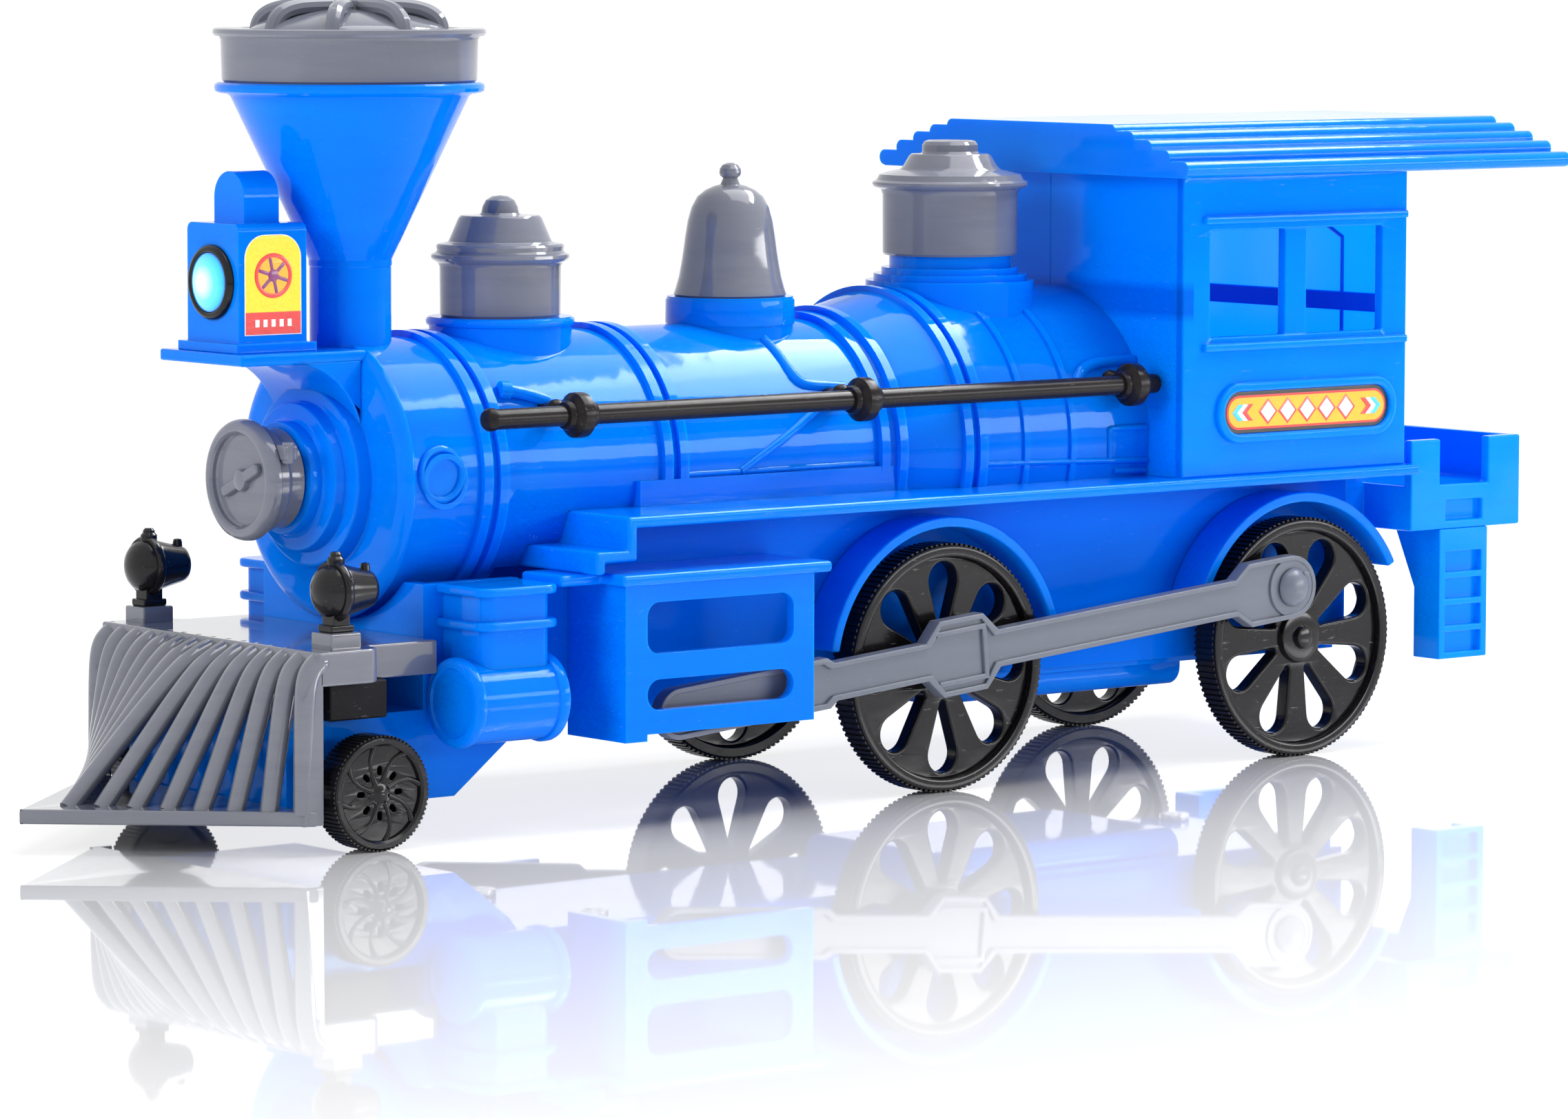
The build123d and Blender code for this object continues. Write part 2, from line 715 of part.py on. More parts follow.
# ------------------------------------------------------------------ frames
def running_board():
    t = board_thick
    face = outline((board_rear_x, board_top_z), (board_front_x, board_top_z),
                   (board_front_x, step_tread_z), (step_tread_x, step_tread_z),
                   (step_tread_x, guide_shelf_z), (step_tread_x - t, guide_shelf_z),
                   (step_tread_x - t, step_tread_z - t), (board_front_x - t, step_tread_z - t),
                   (board_front_x - t, board_top_z - t), (board_rear_x, board_top_z - t))
    return side_slab(face, -board_half_y, board_half_y)


def side_frame():
    top_z = board_top_z - board_thick
    y0, y1 = frame_y - frame_wall, frame_y
    face = outline((frame_rear_x, frame_bottom_z), (frame_front_x, frame_bottom_z),
                   (frame_front_x, guide_shelf_z - guide_shelf_thick),
                   (board_front_x - board_thick, guide_shelf_z - guide_shelf_thick),
                   (board_front_x - board_thick, top_z), (frame_rear_x, top_z))
    frame = side_slab(face, y0, y1)
    for x in screw_xs:
        lug = rod_z(lug_r, cover_z + cover_thick, frame_bottom_z + 8, x, screw_y)
        lug += span(x - lug_r / 2, x + lug_r / 2, screw_y, y0, cover_z + cover_thick, frame_bottom_z + 8)
        frame += lug
        frame -= rod_z(screw_r + seat_clear, cover_z, cover_z + screw_len + 1.5, x, screw_y)
    for x in (front_drive_x, rear_drive_x):
        frame -= rod_y(axle_r + running_clear, 0, 2 * frame_y, x, drive_r)
    return frame


def splasher(x, end_angle):
    """A half ring over a driving wheel, from its front foot back to end_angle."""
    inner_r = splasher_r - splasher_wall
    sweep_deg = end_angle - splasher_front_angle
    outer = CenterArc((0, 0), splasher_r, splasher_front_angle, sweep_deg)
    inner = CenterArc((0, 0), inner_r, splasher_front_angle, sweep_deg)
    ring = make_face([outer, Line(outer @ 1, inner @ 1), inner, Line(inner @ 0, outer @ 0)])
    return side_slab(Pos(x, drive_r) * ring, frame_y, splasher_y)


def guide_box():
    y0, y1, w = frame_y, guide_y, guide_wall
    top = guide_shelf_z - guide_shelf_thick
    wall = outline((guide_rear_x, guide_step_z), (guide_step_x, guide_step_z),
                   (guide_step_x, guide_bottom_z), (guide_front_x, guide_bottom_z),
                   (guide_front_x, top), (guide_rear_x, top))
    box = side_slab(wall, y1 - w, y1)
    box += span(guide_front_x - w, guide_front_x, y0, y1, guide_bottom_z, top)
    mid_x = (slot_rear_x + slot_front_x) / 2
    long_x = slot_front_x - slot_rear_x
    tall = upper_slot_z[1] - upper_slot_z[0]
    upper = Pos(mid_x, sum(upper_slot_z) / 2) * RectangleRounded(long_x, tall, upper_slot_corner)
    low = lower_slot_z[1] - lower_slot_z[0]
    lower = Pos(mid_x, sum(lower_slot_z) / 2) * SlotOverall(long_x, low)
    return box - side_slab(upper + lower, y1 - w - 1, y1 + 1)


def guide_shelf():
    y = guide_y + shelf_over
    t = guide_shelf_thick
    z1 = guide_shelf_z
    shelf = span(shelf_rear_x, guide_front_x + shelf_over, frame_y, y, z1 - t, z1)
    shelf += span(guide_front_x, shelf_end_x, frame_y, chest_y, z1 - t, z1)
    return shelf


def steam_cylinder():
    cyl = rod_x(cylinder_r, cylinder_rear_x, cylinder_front_x, cylinder_y, cylinder_z)
    for x in (cylinder_rear_x, cylinder_front_x - cylinder_flange_w):
        cyl += rod_x(cylinder_flange_r, x, x + cylinder_flange_w, cylinder_y, cylinder_z)
    cyl += span(chest_rear_x, chest_front_x, front_half_y, chest_y, cylinder_z, chest_top_z)
    for z in (chest_top_z - chest_lip_h, chest_lip2_z - chest_lip_h):
        cyl += span(chest_rear_x - chest_lip, chest_front_x + chest_lip, front_half_y,
                    chest_y + chest_lip, z, z + chest_lip_h)
    far = 2 * front_face_x
    return cyl & span(0, far, front_half_y, far, 0, far)


def front_frame():
    w = shell_wall
    top = front_top_z
    face = outline((frame_front_x, front_heel_z + 2.0), (frame_front_x + 1.6, front_heel_z),
                   (front_heel_x, front_bottom_z), (front_low_x, front_bottom_z),
                   (front_low_x, front_low_top_z), (front_face_x, front_low_top_z),
                   (front_face_x, top), (frame_front_x, top))
    body = side_slab(face, -front_half_y, front_half_y)
    inner = outline((frame_front_x - 1, front_heel_z + 3.2), (frame_front_x + 2.4, front_heel_z + 2.0),
                    (front_heel_x + 1.0, front_bottom_z + w), (front_low_x - w, front_bottom_z + w),
                    (front_low_x - w, front_low_top_z - w), (front_face_x - w, front_low_top_z - w),
                    (front_face_x - w, top + 1), (frame_front_x - 1, top + 1))
    body -= side_slab(inner, w - front_half_y, front_half_y - w)
    body -= rod_x(smokebox_r + seat_clear, frame_front_x - 1, front_face_x + 1, 0, boiler_z)
    body -= span(frame_front_x - 1, front_face_x + 1, -front_half_y - 1, front_half_y + 1,
                 front_cut_z, top + 1)
    body -= rod_y(axle_r + running_clear, -2 * frame_y, 2 * frame_y, lead_x, lead_r)
    return body


def pilot_bar(k):
    share = abs(k) / (bar_count // 2)
    y = k * (beam_half_y - bar_r) / (bar_count // 2)
    foot_x = nose_foot_x + share * (side_foot_x - nose_foot_x)
    top_x, top_z, foot_z = beam_front_x - bar_r, beam_top_z - bar_r - 0.3, plate_top_z - 0.6
    dx, dz = foot_x - top_x, foot_z - top_z
    length = hypot(dx, dz)
    bulge = bar_bulge * length / hypot(nose_foot_x - top_x, dz)
    mid = ((top_x + foot_x) / 2 - dz / length * bulge, (top_z + foot_z) / 2 + dx / length * bulge)
    path = ThreePointArc((top_x, y, top_z), (mid[0], y, mid[1]), (foot_x, y, foot_z))
    section = Plane(origin=path @ 0, z_dir=path % 0) * Circle(bar_r)
    return sweep(section, path=path)


def pilot():
    low = beam_top_z - beam_thick
    body = span(beam_step_x, beam_front_x, -beam_half_y, beam_half_y, low, beam_top_z)
    body += span(front_face_x, beam_step_x, -beam_rear_half_y, beam_rear_half_y, low, beam_top_z)
    plate = make_face(Polyline((plate_rear_x, -plate_half_y), (nose_x, 0), (plate_rear_x, plate_half_y),
                               close=True))
    body += extrude(Pos(0, 0, plate_top_z - plate_thick) * plate, plate_thick)
    for k in range(-(bar_count // 2), bar_count // 2 + 1):
        body += pilot_bar(k)
    for side in (-1, 1):
        edge = side * (beam_half_y - side_strip / 2)
        body += span(beam_front_x - side_strip, side_foot_x + bar_r, edge - side_strip / 2,
                     edge + side_strip / 2, plate_top_z - plate_thick, beam_top_z - 0.8)
        pad = lamp_pad / 2
        body += span(marker_x - pad, marker_x + pad, side * marker_y - pad, side * marker_y + pad,
                     beam_top_z, beam_top_z + lamp_pad_h)
    return body


def bolster():
    return span(bolster_rear_x, bolster_front_x, -bolster_half_y, bolster_half_y,
                front_low_top_z, beam_top_z - beam_thick)


def marker_lamp():
    foot = beam_top_z + lamp_pad_h
    half = marker_foot / 2
    lamp = span(marker_x - half, marker_x + half, marker_y - half, marker_y + half, foot, foot + half)
    lamp += rod_z(marker_post_r, foot, marker_z, marker_x, marker_y)
    x1 = marker_x + marker_face
    x0, back_x, lens_x = x1 - marker_rim, x1 - marker_len, x1 - marker_sink
    head = rod_x(marker_r, x0, x1, marker_y, marker_z)
    face = make_face(Plane.XZ * Polyline((x0, 0), (x0, marker_r - marker_sink), (back_x, marker_back_r),
                                         (back_x, 0), close=True))
    head += Pos(0, marker_y, marker_z) * revolve(face, Axis.X)
    head -= rod_x(marker_ring_r, lens_x, x1 + 1, marker_y, marker_z)
    head += dome_x(marker_ring_r, lens_x - marker_sink, lens_x, 2 * marker_sink, marker_y, marker_z)
    lamp += head
    for r, back, up in marker_nubs:
        lamp += rod_z(r, marker_z, marker_z + up, x1 - back, marker_y)
    return lamp


# ------------------------------------------------------------------ cab and roof
def sign_shape(length, height):
    return Pos(sign_centre_x, sign_z) * SlotOverall(length, height)


def roof_steps():
    """The roof's underside from the edge inwards, as (inner y, underside z) steps."""
    inner = [y - 2 * roof_rib_r for y, _ in roof_ribs[1:]] + [0]
    return [(limit_y, z - roof_rib_r) for limit_y, (_, z) in zip(inner, roof_ribs)]


def cab_half():
    """One side wall with half of the front and rear walls, which follow the roof's steps."""
    w, y = cab_wall, cab_half_y
    x0, x1 = cab_rear_x, cab_front_x
    eaves_z = roof_ribs[0][1] - roof_rib_r - roof_gap
    gable = [(0, board_top_z), (y, board_top_z)]
    edge_y = y
    for limit_y, under_z in roof_steps():
        gable += [(edge_y, under_z - roof_gap), (limit_y, under_z - roof_gap)]
        edge_y = limit_y
    cab = span(x0, x1, y - w, y, board_top_z, eaves_z)
    for x in (x0, x1 - w):
        cab += cross_slab(outline(*gable), x, x + w)
    for a, b in window_xs:
        cab -= span(a, b, y - w - 1, y + 1, *window_z)
    for z in ledge_z:
        cab += span(x0 + 0.4, x1 - ledge_inset, y, y + ledge_proud, z - ledge_h / 2, z + ledge_h / 2)
    rim = sign_shape(sign_len, sign_h) - sign_shape(sign_len - 2 * sign_rim, sign_h - 2 * sign_rim)
    cab += side_slab(rim, y, y + sign_rim_proud)
    return cab


def sign_plate():
    gap = (sign_h - 2 * sign_rim - sign_plate_h) / 2
    length = sign_len - 2 * sign_rim - 2 * gap
    return side_slab(sign_shape(length, sign_plate_h), cab_half_y, cab_half_y + sign_plate_thick)


def cab_roof():
    r = roof_rib_r
    section = Sketch()
    inner_y = 0.0
    for y, z in reversed(roof_ribs):
        section += Pos((y + inner_y) / 2, z) * Rectangle(y - inner_y, 2 * r)
        section += Pos(y, z) * Circle(r)
        inner_y = y - 2 * r
    section += mirror(section, about=Plane.YZ)
    roof = cross_slab(section, roof_rear_x, roof_front_x)
    edge_y, edge_z = roof_ribs[0]
    crown_y, crown_z = roof_ribs[-1]
    gable = outline((-edge_y, fascia_bottom_z), (edge_y, fascia_bottom_z), (edge_y, edge_z),
                    (crown_y, crown_z), (-crown_y, crown_z), (-edge_y, edge_z))
    roof += cross_slab(gable, roof_front_x - fascia_thick, roof_front_x)
    return roof


def ballast():
    x1 = cab_front_x - cab_wall - face_clear
    return span(x1 - ballast_len, x1, -ballast_half_y, ballast_half_y, board_top_z, ballast_top_z)


# ------------------------------------------------------------------ rear platform
def rear_platform():
    w, y = platform_wall, platform_half_y
    x0, x1 = platform_rear_x, platform_front_x
    tub = span(x0, x1, -y, y, platform_bottom_z, platform_top_z)
    tub -= span(x0 + w, x1 + 1, w - y, y - w, platform_floor_z, platform_top_z + 1)
    tub -= span(x0 + w, x1 - w, w - y, y - w, platform_bottom_z - 1, platform_floor_z - w)
    tub -= span(gate_rear_x, gate_front_x, -y - 1, y + 1, platform_floor_z, platform_top_z + 1)
    tub += span(x1, frame_rear_x - 0.2, -neck_half_y, neck_half_y, platform_bottom_z,
                board_top_z - board_thick)
    tub -= span(x1 - 2 * w, frame_rear_x - w, w - neck_half_y, neck_half_y - w,
                platform_bottom_z - 1, platform_floor_z - w)
    for side in (-1, 1):
        face_y = side * (y - rung_deep / 2)
        tub -= span(gate_rear_x + ladder_rail, gate_front_x - ladder_rail, face_y - rung_deep / 2,
                    face_y + rung_deep / 2, *top_recess_z)
    return tub


def ladder():
    y = platform_half_y
    top = platform_bottom_z
    face = outline((y, top), (y, ladder_bottom_z), (y - ladder_depth, ladder_bottom_z),
                   (y - ladder_depth, ladder_kink_z), (y - ladder_top_depth, top))
    body = cross_slab(face, gate_rear_x, gate_front_x)
    steps = int((top - ladder_bottom_z) / rung_pitch)
    x0, x1 = gate_rear_x + ladder_rail, gate_front_x - ladder_rail
    for k in range(steps):
        z0 = ladder_bottom_z + rung_h + k * rung_pitch
        body -= span(x0, x1, y - rung_deep, y + 1, z0, z0 + rung_pitch - rung_h)
    wall_y, past = y - ladder_wall, 1.0
    hollow = outline((wall_y, top + past), (wall_y, ladder_bottom_z - past),
                     (y - ladder_depth - past, ladder_bottom_z - past),
                     (y - ladder_depth - past, ladder_kink_z), (y - ladder_top_depth - 2 * past, top + past))
    return body - cross_slab(hollow, x0 + 0.4, x1 - 0.4)


# ------------------------------------------------------------------ belly and screws
def belly():
    y, top = belly_half_y, cover_z
    face = outline((-y, top), (-y, belly_bottom_z), (y, belly_bottom_z), (y, top))
    face = fillet(face.vertices().group_by(Axis.Y)[0], belly_round)
    body = cross_slab(face, belly_rear_x, belly_front_x)
    w = cover_thick
    return body - span(belly_rear_x + w, belly_front_x - w, w - y, y - w, belly_bottom_z + w, top + 1)


def base_cover():
    half = frame_y - frame_wall - face_clear
    cover = span(cover_rear_x, cover_front_x, -half, half, cover_z, cover_z + cover_thick)
    for x in screw_xs:
        for y in (-screw_y, screw_y):
            cover -= rod_z(screw_r + seat_clear, cover_z - 1, cover_z + cover_thick + 1, x, y)
    return cover


def base_screws():
    screws = []
    for x in screw_xs:
        for y in (-screw_y, screw_y):
            screw = rod_z(screw_r, cover_z, cover_z + screw_len, x, y)
            screw += rod_z(screw_head_r, cover_z - screw_head_h, cover_z, x, y)
            for turn in (0, 90):
                screw -= Pos(x, y, cover_z - screw_head_h) * Rot(0, 0, turn) * Box(*screw_cross, screw_head_h)
            screws.append(screw)
    return Compound(children=screws)


def pairs():
    """Pieces that come in a left and a mirrored right copy."""
    return {
        "boiler": boiler_half(),
        "cab": cab_half(),
        "side_frame": side_frame(),
        "splasher_front": splasher(front_drive_x, splasher_ends["front"]),
        "splasher_rear": splasher(rear_drive_x, splasher_ends["rear"]),
        "guide_box": guide_box(),
        "guide_shelf": guide_shelf(),
        "cylinder": steam_cylinder(),
        "ladder": ladder(),
        "marker_lamp": marker_lamp(),
        "handrail": handrail(),
        "headlamp_label": headlamp_label(),
        "sign_plate": sign_plate(),
        "drive_wheel_front": drive_wheel(front_drive_x, 0.0),
        "drive_wheel_rear": rear_wheel(rear_drive_x, rear_wheel_turn),
        "lead_wheel": lead_wheel(),
        "side_rod": side_rod(),
        "crank_pin": crank_pin(),
    }


def singles():
    return {
        "smokebox_front": smokebox_front(),
        "smokebox_door": smokebox_door(),
        "headlamp_box": headlamp_box(),
        "headlamp_bezel": headlamp_bezel(),
        "headlamp_lens": headlamp_lens(),
        "smokestack": smokestack(),
        "stack_cap": stack_cap(),
        "sand_dome": seated(sand_profile, sand_seat_top, sand_dome_x),
        "bell": bell(),
        "steam_dome": seated(steam_profile, steam_neck_top, steam_dome_x),
        "running_board": running_board(),
        "front_frame": front_frame(),
        "pilot": pilot(),
        "bolster": bolster(),
        "cab_roof": cab_roof(),
        "ballast": ballast(),
        "rear_platform": rear_platform(),
        "belly": belly(),
        "base_cover": base_cover(),
        "base_screws": base_screws(),
        "drive_axle_front": axle(front_drive_x, drive_r, drive_outer_y, drive_width),
        "drive_axle_rear": axle(rear_drive_x, drive_r, drive_outer_y, drive_width),
        "lead_axle": axle(lead_x, lead_r, lead_outer_y, lead_width),
    }


def main():
    os.makedirs("parts", exist_ok=True)
    for name, solid in pairs().items():
        export_step(solid, f"parts/{name}_left.step")
        export_step(right_of(solid), f"parts/{name}_right.step")
    for name, solid in singles().items():
        export_step(solid, f"parts/{name}.step")


main()
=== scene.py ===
import json
from math import asin, cos, pi, radians, sin

import bmesh
import bpy
from mathutils import Matrix, Vector


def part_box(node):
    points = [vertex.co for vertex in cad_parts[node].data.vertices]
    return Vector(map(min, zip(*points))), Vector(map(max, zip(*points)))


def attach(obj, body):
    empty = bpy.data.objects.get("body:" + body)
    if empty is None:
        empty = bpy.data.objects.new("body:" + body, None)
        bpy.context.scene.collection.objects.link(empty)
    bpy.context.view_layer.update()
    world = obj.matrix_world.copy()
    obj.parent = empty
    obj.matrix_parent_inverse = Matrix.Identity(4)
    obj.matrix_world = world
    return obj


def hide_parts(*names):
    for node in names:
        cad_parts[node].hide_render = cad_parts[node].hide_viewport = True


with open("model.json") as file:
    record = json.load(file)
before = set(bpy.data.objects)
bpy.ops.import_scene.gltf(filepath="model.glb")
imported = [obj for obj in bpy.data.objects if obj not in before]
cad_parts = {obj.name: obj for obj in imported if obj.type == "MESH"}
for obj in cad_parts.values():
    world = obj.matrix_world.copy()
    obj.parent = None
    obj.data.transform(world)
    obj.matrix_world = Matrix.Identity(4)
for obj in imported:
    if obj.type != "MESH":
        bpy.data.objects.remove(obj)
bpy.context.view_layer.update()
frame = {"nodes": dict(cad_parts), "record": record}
mm = 0.001
root = "locomotive"
quarter = 0.5523    # handle length of a quarter circle of radius 1
cornerGap = 0.4477    # what such a handle leaves free at the corner
print("frame loaded:", len(frame["nodes"]), "solids")


# small helpers; every shape is drawn in millimetres
def corners(node):
    low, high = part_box(node)
    return low / mm, high / mm


def pick(look, names):
    return [look[name] for name in names.split()]


def middle(node):
    low, high = corners(node)
    return (low + high) / 2


def tidy(bm, gap=0.002):
    bmesh.ops.remove_doubles(bm, verts=bm.verts, dist=gap)
    bmesh.ops.recalc_face_normals(bm, faces=bm.faces)
    return bm


def soften(bm, width, segments=2, fromAngle=32):
    # rounds every edge that is sharper than fromAngle
    sharp = [e for e in bm.edges if len(e.link_faces) == 2 and e.calc_face_angle() > radians(fromAngle)]
    if sharp and width:
        bmesh.ops.bevel(bm, geom=sharp, offset=width, offset_type="OFFSET", segments=segments,
                        profile=0.5, affect="EDGES", clamp_overlap=True, material=-1)
    return bm


axes = {"X": (Vector((1, 0, 0)), Vector((0, 1, 0))), "Y": (Vector((0, 1, 0)), Vector((0, 0, 1))),
        "Z": (Vector((0, 0, 1)), Vector((1, 0, 0)))}


def lathe(profile, axis, centre, steps=96, closed=False):
    # profile is (radius, distance along the axis), turned right round the axis
    along, out = axes[axis]
    centre = Vector(centre)
    bm = bmesh.new()
    verts = [bm.verts.new(centre + along * h + out * r) for r, h in profile]
    ends = verts[1:] + verts[:1] if closed else verts[1:]
    edges = [bm.edges.new(pair) for pair in zip(verts, ends)]
    bmesh.ops.spin(bm, geom=verts + edges, cent=centre, axis=along, dvec=(0, 0, 0), angle=2 * pi,
                   steps=steps, use_merge=True, use_duplicate=False)
    return tidy(bm)


def near(radius, height, *steps):
    # profile points counted from one corner of the profile
    return [(radius + r, height + h) for r, h in steps]


def block(low, high, edge=0.25, segments=2):
    low, high = Vector(low), Vector(high)
    bm = bmesh.new()
    bmesh.ops.create_cube(bm, size=1)
    bmesh.ops.scale(bm, vec=high - low, verts=bm.verts)
    bmesh.ops.translate(bm, vec=(low + high) / 2, verts=bm.verts)
    return soften(bm, edge, segments)


def ball(radius, centre, stretch=(1, 1, 1), rings=20):
    bm = bmesh.new()
    bmesh.ops.create_uvsphere(bm, u_segments=2 * rings, v_segments=rings, radius=radius)
    bmesh.ops.scale(bm, vec=stretch, verts=bm.verts)
    bmesh.ops.translate(bm, vec=centre, verts=bm.verts)
    return bm


def joined(*parts):
    # one shape from several, which are used up
    bm = bmesh.new()
    for part in parts:
        carrier = bpy.data.meshes.new("carrier")
        part.to_mesh(carrier)
        part.free()
        bm.from_mesh(carrier)
        bpy.data.meshes.remove(carrier)
    return bm


def fromCurve(curve):
    # turns a curve into a bmesh and drops the curve
    holder = bpy.data.objects.new("holder", curve)
    bpy.context.scene.collection.objects.link(holder)
    mesh = bpy.data.meshes.new_from_object(holder.evaluated_get(bpy.context.evaluated_depsgraph_get()))
    bpy.data.objects.remove(holder)
    bpy.data.curves.remove(curve)
    bm = bmesh.new()
    bm.from_mesh(mesh)
    bpy.data.meshes.remove(mesh)
    return tidy(bm)


def tube(points, radius, smoothness=6, roundness=3, straight=False, cyclic=False, radii=None):
    # a round bar along the points; radii are shares of the radius
    curve = bpy.data.curves.new("tube", "CURVE")
    curve.dimensions = "3D"
    curve.bevel_depth = radius
    curve.bevel_resolution = roundness
    curve.resolution_u = smoothness
    curve.use_fill_caps = True
    spline = curve.splines.new("POLY" if straight else "NURBS")
    spline.points.add(len(points) - 1)
    for k, point in enumerate(points):
        spline.points[k].co = (*point, 1)
        spline.points[k].radius = radii[k] if radii else 1
    if not straight:
        spline.order_u = 3
        spline.use_endpoint_u = not cyclic
    spline.use_cyclic_u = cyclic
    return fromCurve(curve)


# local axes of a flat drawing: side faces +Y, front faces +X, top faces +Z
planes = {"side": Matrix(((-1, 0, 0), (0, 0, 1), (0, 1, 0))).to_4x4(),
          "front": Matrix(((0, 0, 1), (1, 0, 0), (0, 1, 0))).to_4x4(), "top": Matrix.Identity(4)}


def cutout(loops, plane, low, high, edge=0.2, roundness=2, smoothness=10):
    # a flat shape from closed loops, the inner ones being holes; a loop is a list of corners
    # or of (point, handle in, handle out)
    curve = bpy.data.curves.new("cutout", "CURVE")
    curve.dimensions = "2D"
    curve.fill_mode = "BOTH"
    curve.extrude = (high - low) / 2 - edge
    curve.bevel_depth = edge
    curve.offset = -edge
    curve.bevel_resolution = roundness
    curve.resolution_u = smoothness
    flip = -1 if plane == "side" else 1
    for loop in loops:
        handled = len(loop[0]) == 3
        spline = curve.splines.new("BEZIER")
        spline.bezier_points.add(len(loop) - 1)
        for point, entry in zip(spline.bezier_points, loop):
            at, before, after = entry if handled else (entry, entry, entry)
            point.handle_left_type = point.handle_right_type = "FREE" if handled else "VECTOR"
            point.co = (flip * at[0], at[1], 0)
            if handled:
                point.handle_left = (flip * before[0], before[1], 0)
                point.handle_right = (flip * after[0], after[1], 0)
        spline.use_cyclic_u = True
        spline.resolution_u = smoothness if handled else 1
    bm = fromCurve(curve)
    bmesh.ops.transform(bm, matrix=planes[plane], verts=bm.verts)
    normal = {"side": (0, 1, 0), "front": (1, 0, 0), "top": (0, 0, 1)}[plane]
    bmesh.ops.translate(bm, vec=Vector(normal) * (low + high) / 2, verts=bm.verts)
    return tidy(bm)


def flatLoop(*spots):
    # a loop of plain corners
    return [(spot, spot, spot) for spot in spots]


def ringLoop(x, y, radius):
    # a circle as four handled points
    reach = radius * quarter
    loop = []
    for k in range(4):
        a = k * pi / 2
        at = Vector((x + radius * cos(a), y + radius * sin(a)))
        tangent = Vector((-sin(a), cos(a))) * reach
        loop.append((at, at - tangent, at + tangent))
    return loop


def roundLoop(x0, x1, y0, y1, radius):
    # a rectangle with round corners
    k = radius * cornerGap
    spots = (((x1, y0 + radius), (x1, y0 + k), None), ((x1, y1 - radius), None, (x1, y1 - k)),
             ((x1 - radius, y1), (x1 - k, y1), None), ((x0 + radius, y1), None, (x0 + k, y1)),
             ((x0, y1 - radius), (x0, y1 - k), None), ((x0, y0 + radius), None, (x0, y0 + k)),
             ((x0 + radius, y0), (x0 + k, y0), None), ((x1 - radius, y0), None, (x1 - k, y0)))
    return [(at, before or at, after or at) for at, before, after in spots]


def archLoop(x0, x1, z0, z1, radius):
    # square feet, round shoulders
    k = radius * cornerGap
    right, left, side = (x1 - radius, z1), (x0 + radius, z1), z1 - radius
    return [((x1, z0),) * 3, ((x1, side), (x1, side), (x1, z1 - k)), (right, (x1 - k, z1), right),
            (left, left, (x0 + k, z1)), ((x0, side), (x0, z1 - k), (x0, side)), ((x0, z0),) * 3]


def turnLoop(loop, angle, x, y):
    # a handled loop turned by angle and moved to x, y
    c, s = cos(angle), sin(angle)
    return [tuple((x + c * p[0] - s * p[1], y + s * p[0] + c * p[1]) for p in entry) for entry in loop]


def mirrored(bm):
    # a copy for the other side of the train
    other = bm.copy()
    bmesh.ops.scale(other, vec=(1, -1, 1), verts=other.verts)
    bmesh.ops.reverse_faces(other, faces=other.faces)
    return other


def makePiece(name, bm, material, body=root, replaces=(), smooth=38):
    bmesh.ops.scale(bm, vec=(mm, mm, mm), verts=bm.verts)
    mesh = bpy.data.meshes.new(name)
    bm.to_mesh(mesh)
    bm.free()
    mesh.materials.append(material)
    mesh.polygons.foreach_set("use_smooth", [True] * len(mesh.polygons))
    mesh.set_sharp_from_angle(angle=radians(smooth))
    piece = bpy.data.objects.new(name, mesh)
    bpy.context.scene.collection.objects.link(piece)
    # broad faces set the shading, so flats stay flat beside their rounded edges
    weights = piece.modifiers.new("flatFaces", "WEIGHTED_NORMAL")
    weights.keep_sharp = True
    weights.weight = 100
    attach(piece, body)
    if replaces:
        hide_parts(*replaces)


def bothSides(name, bm, material, bodies=(root, root), node=None):
    # the left piece as drawn and its mirror image on the right
    other = mirrored(bm)
    for side, shape, body in (("left", bm, bodies[0]), ("right", other, bodies[1])):
        makePiece(f"{name}_{side}", shape, material, body, (f"{node}_{side}",) if node else ())


# node helpers and finishes
def addNode(tree, kind, **settings):
    made = tree.nodes.new(kind)
    for key, value in settings.items():
        setattr(made, key, value)
    return made


def setInputs(node, values):
    for key, value in values.items():
        node.inputs[key].default_value = value


def addMath(tree, operation, first, *others, clamp=False):
    # one operation over all the values in turn
    for other in others or (0.5,):
        made = addNode(tree, "ShaderNodeMath", operation=operation, use_clamp=clamp)
        for socket, value in zip(made.inputs, (first, other)):
            if isinstance(value, (int, float)):
                socket.default_value = value
            else:
                tree.links.new(value, socket)
        first = made.outputs[0]
    return first


def addRange(tree, value, low, high, toLow=0.0, toHigh=1.0):
    made = addNode(tree, "ShaderNodeMapRange")
    tree.links.new(value, made.inputs["Value"])
    setInputs(made, {"From Min": low, "From Max": high, "To Min": toLow, "To Max": toHigh})
    return made.outputs["Result"]


def addNoise(tree, coords, scale, detail=2.0, stretch=None, rough=0.5):
    if stretch:
        turn = addNode(tree, "ShaderNodeMapping")
        turn.inputs["Scale"].default_value = stretch
        tree.links.new(coords, turn.inputs["Vector"])
        coords = turn.outputs["Vector"]
    made = addNode(tree, "ShaderNodeTexNoise")
    tree.links.new(coords, made.inputs["Vector"])
    setInputs(made, {"Scale": scale, "Detail": detail, "Roughness": rough})
    return made.outputs["Fac"]


def addMix(tree, factor, first, second):
    made = addNode(tree, "ShaderNodeMix", data_type="RGBA")
    for socket, value in zip((made.inputs["Factor"], made.inputs[6], made.inputs[7]),
                             (factor, first, second)):
        if hasattr(value, "links"):
            tree.links.new(value, socket)
        else:
            socket.default_value = value
    return made.outputs[2]


def addBump(tree, height, strength, distance):
    made = addNode(tree, "ShaderNodeBump")
    setInputs(made, {"Strength": strength, "Distance": distance})
    tree.links.new(height, made.inputs["Height"])
    return made.outputs["Normal"]


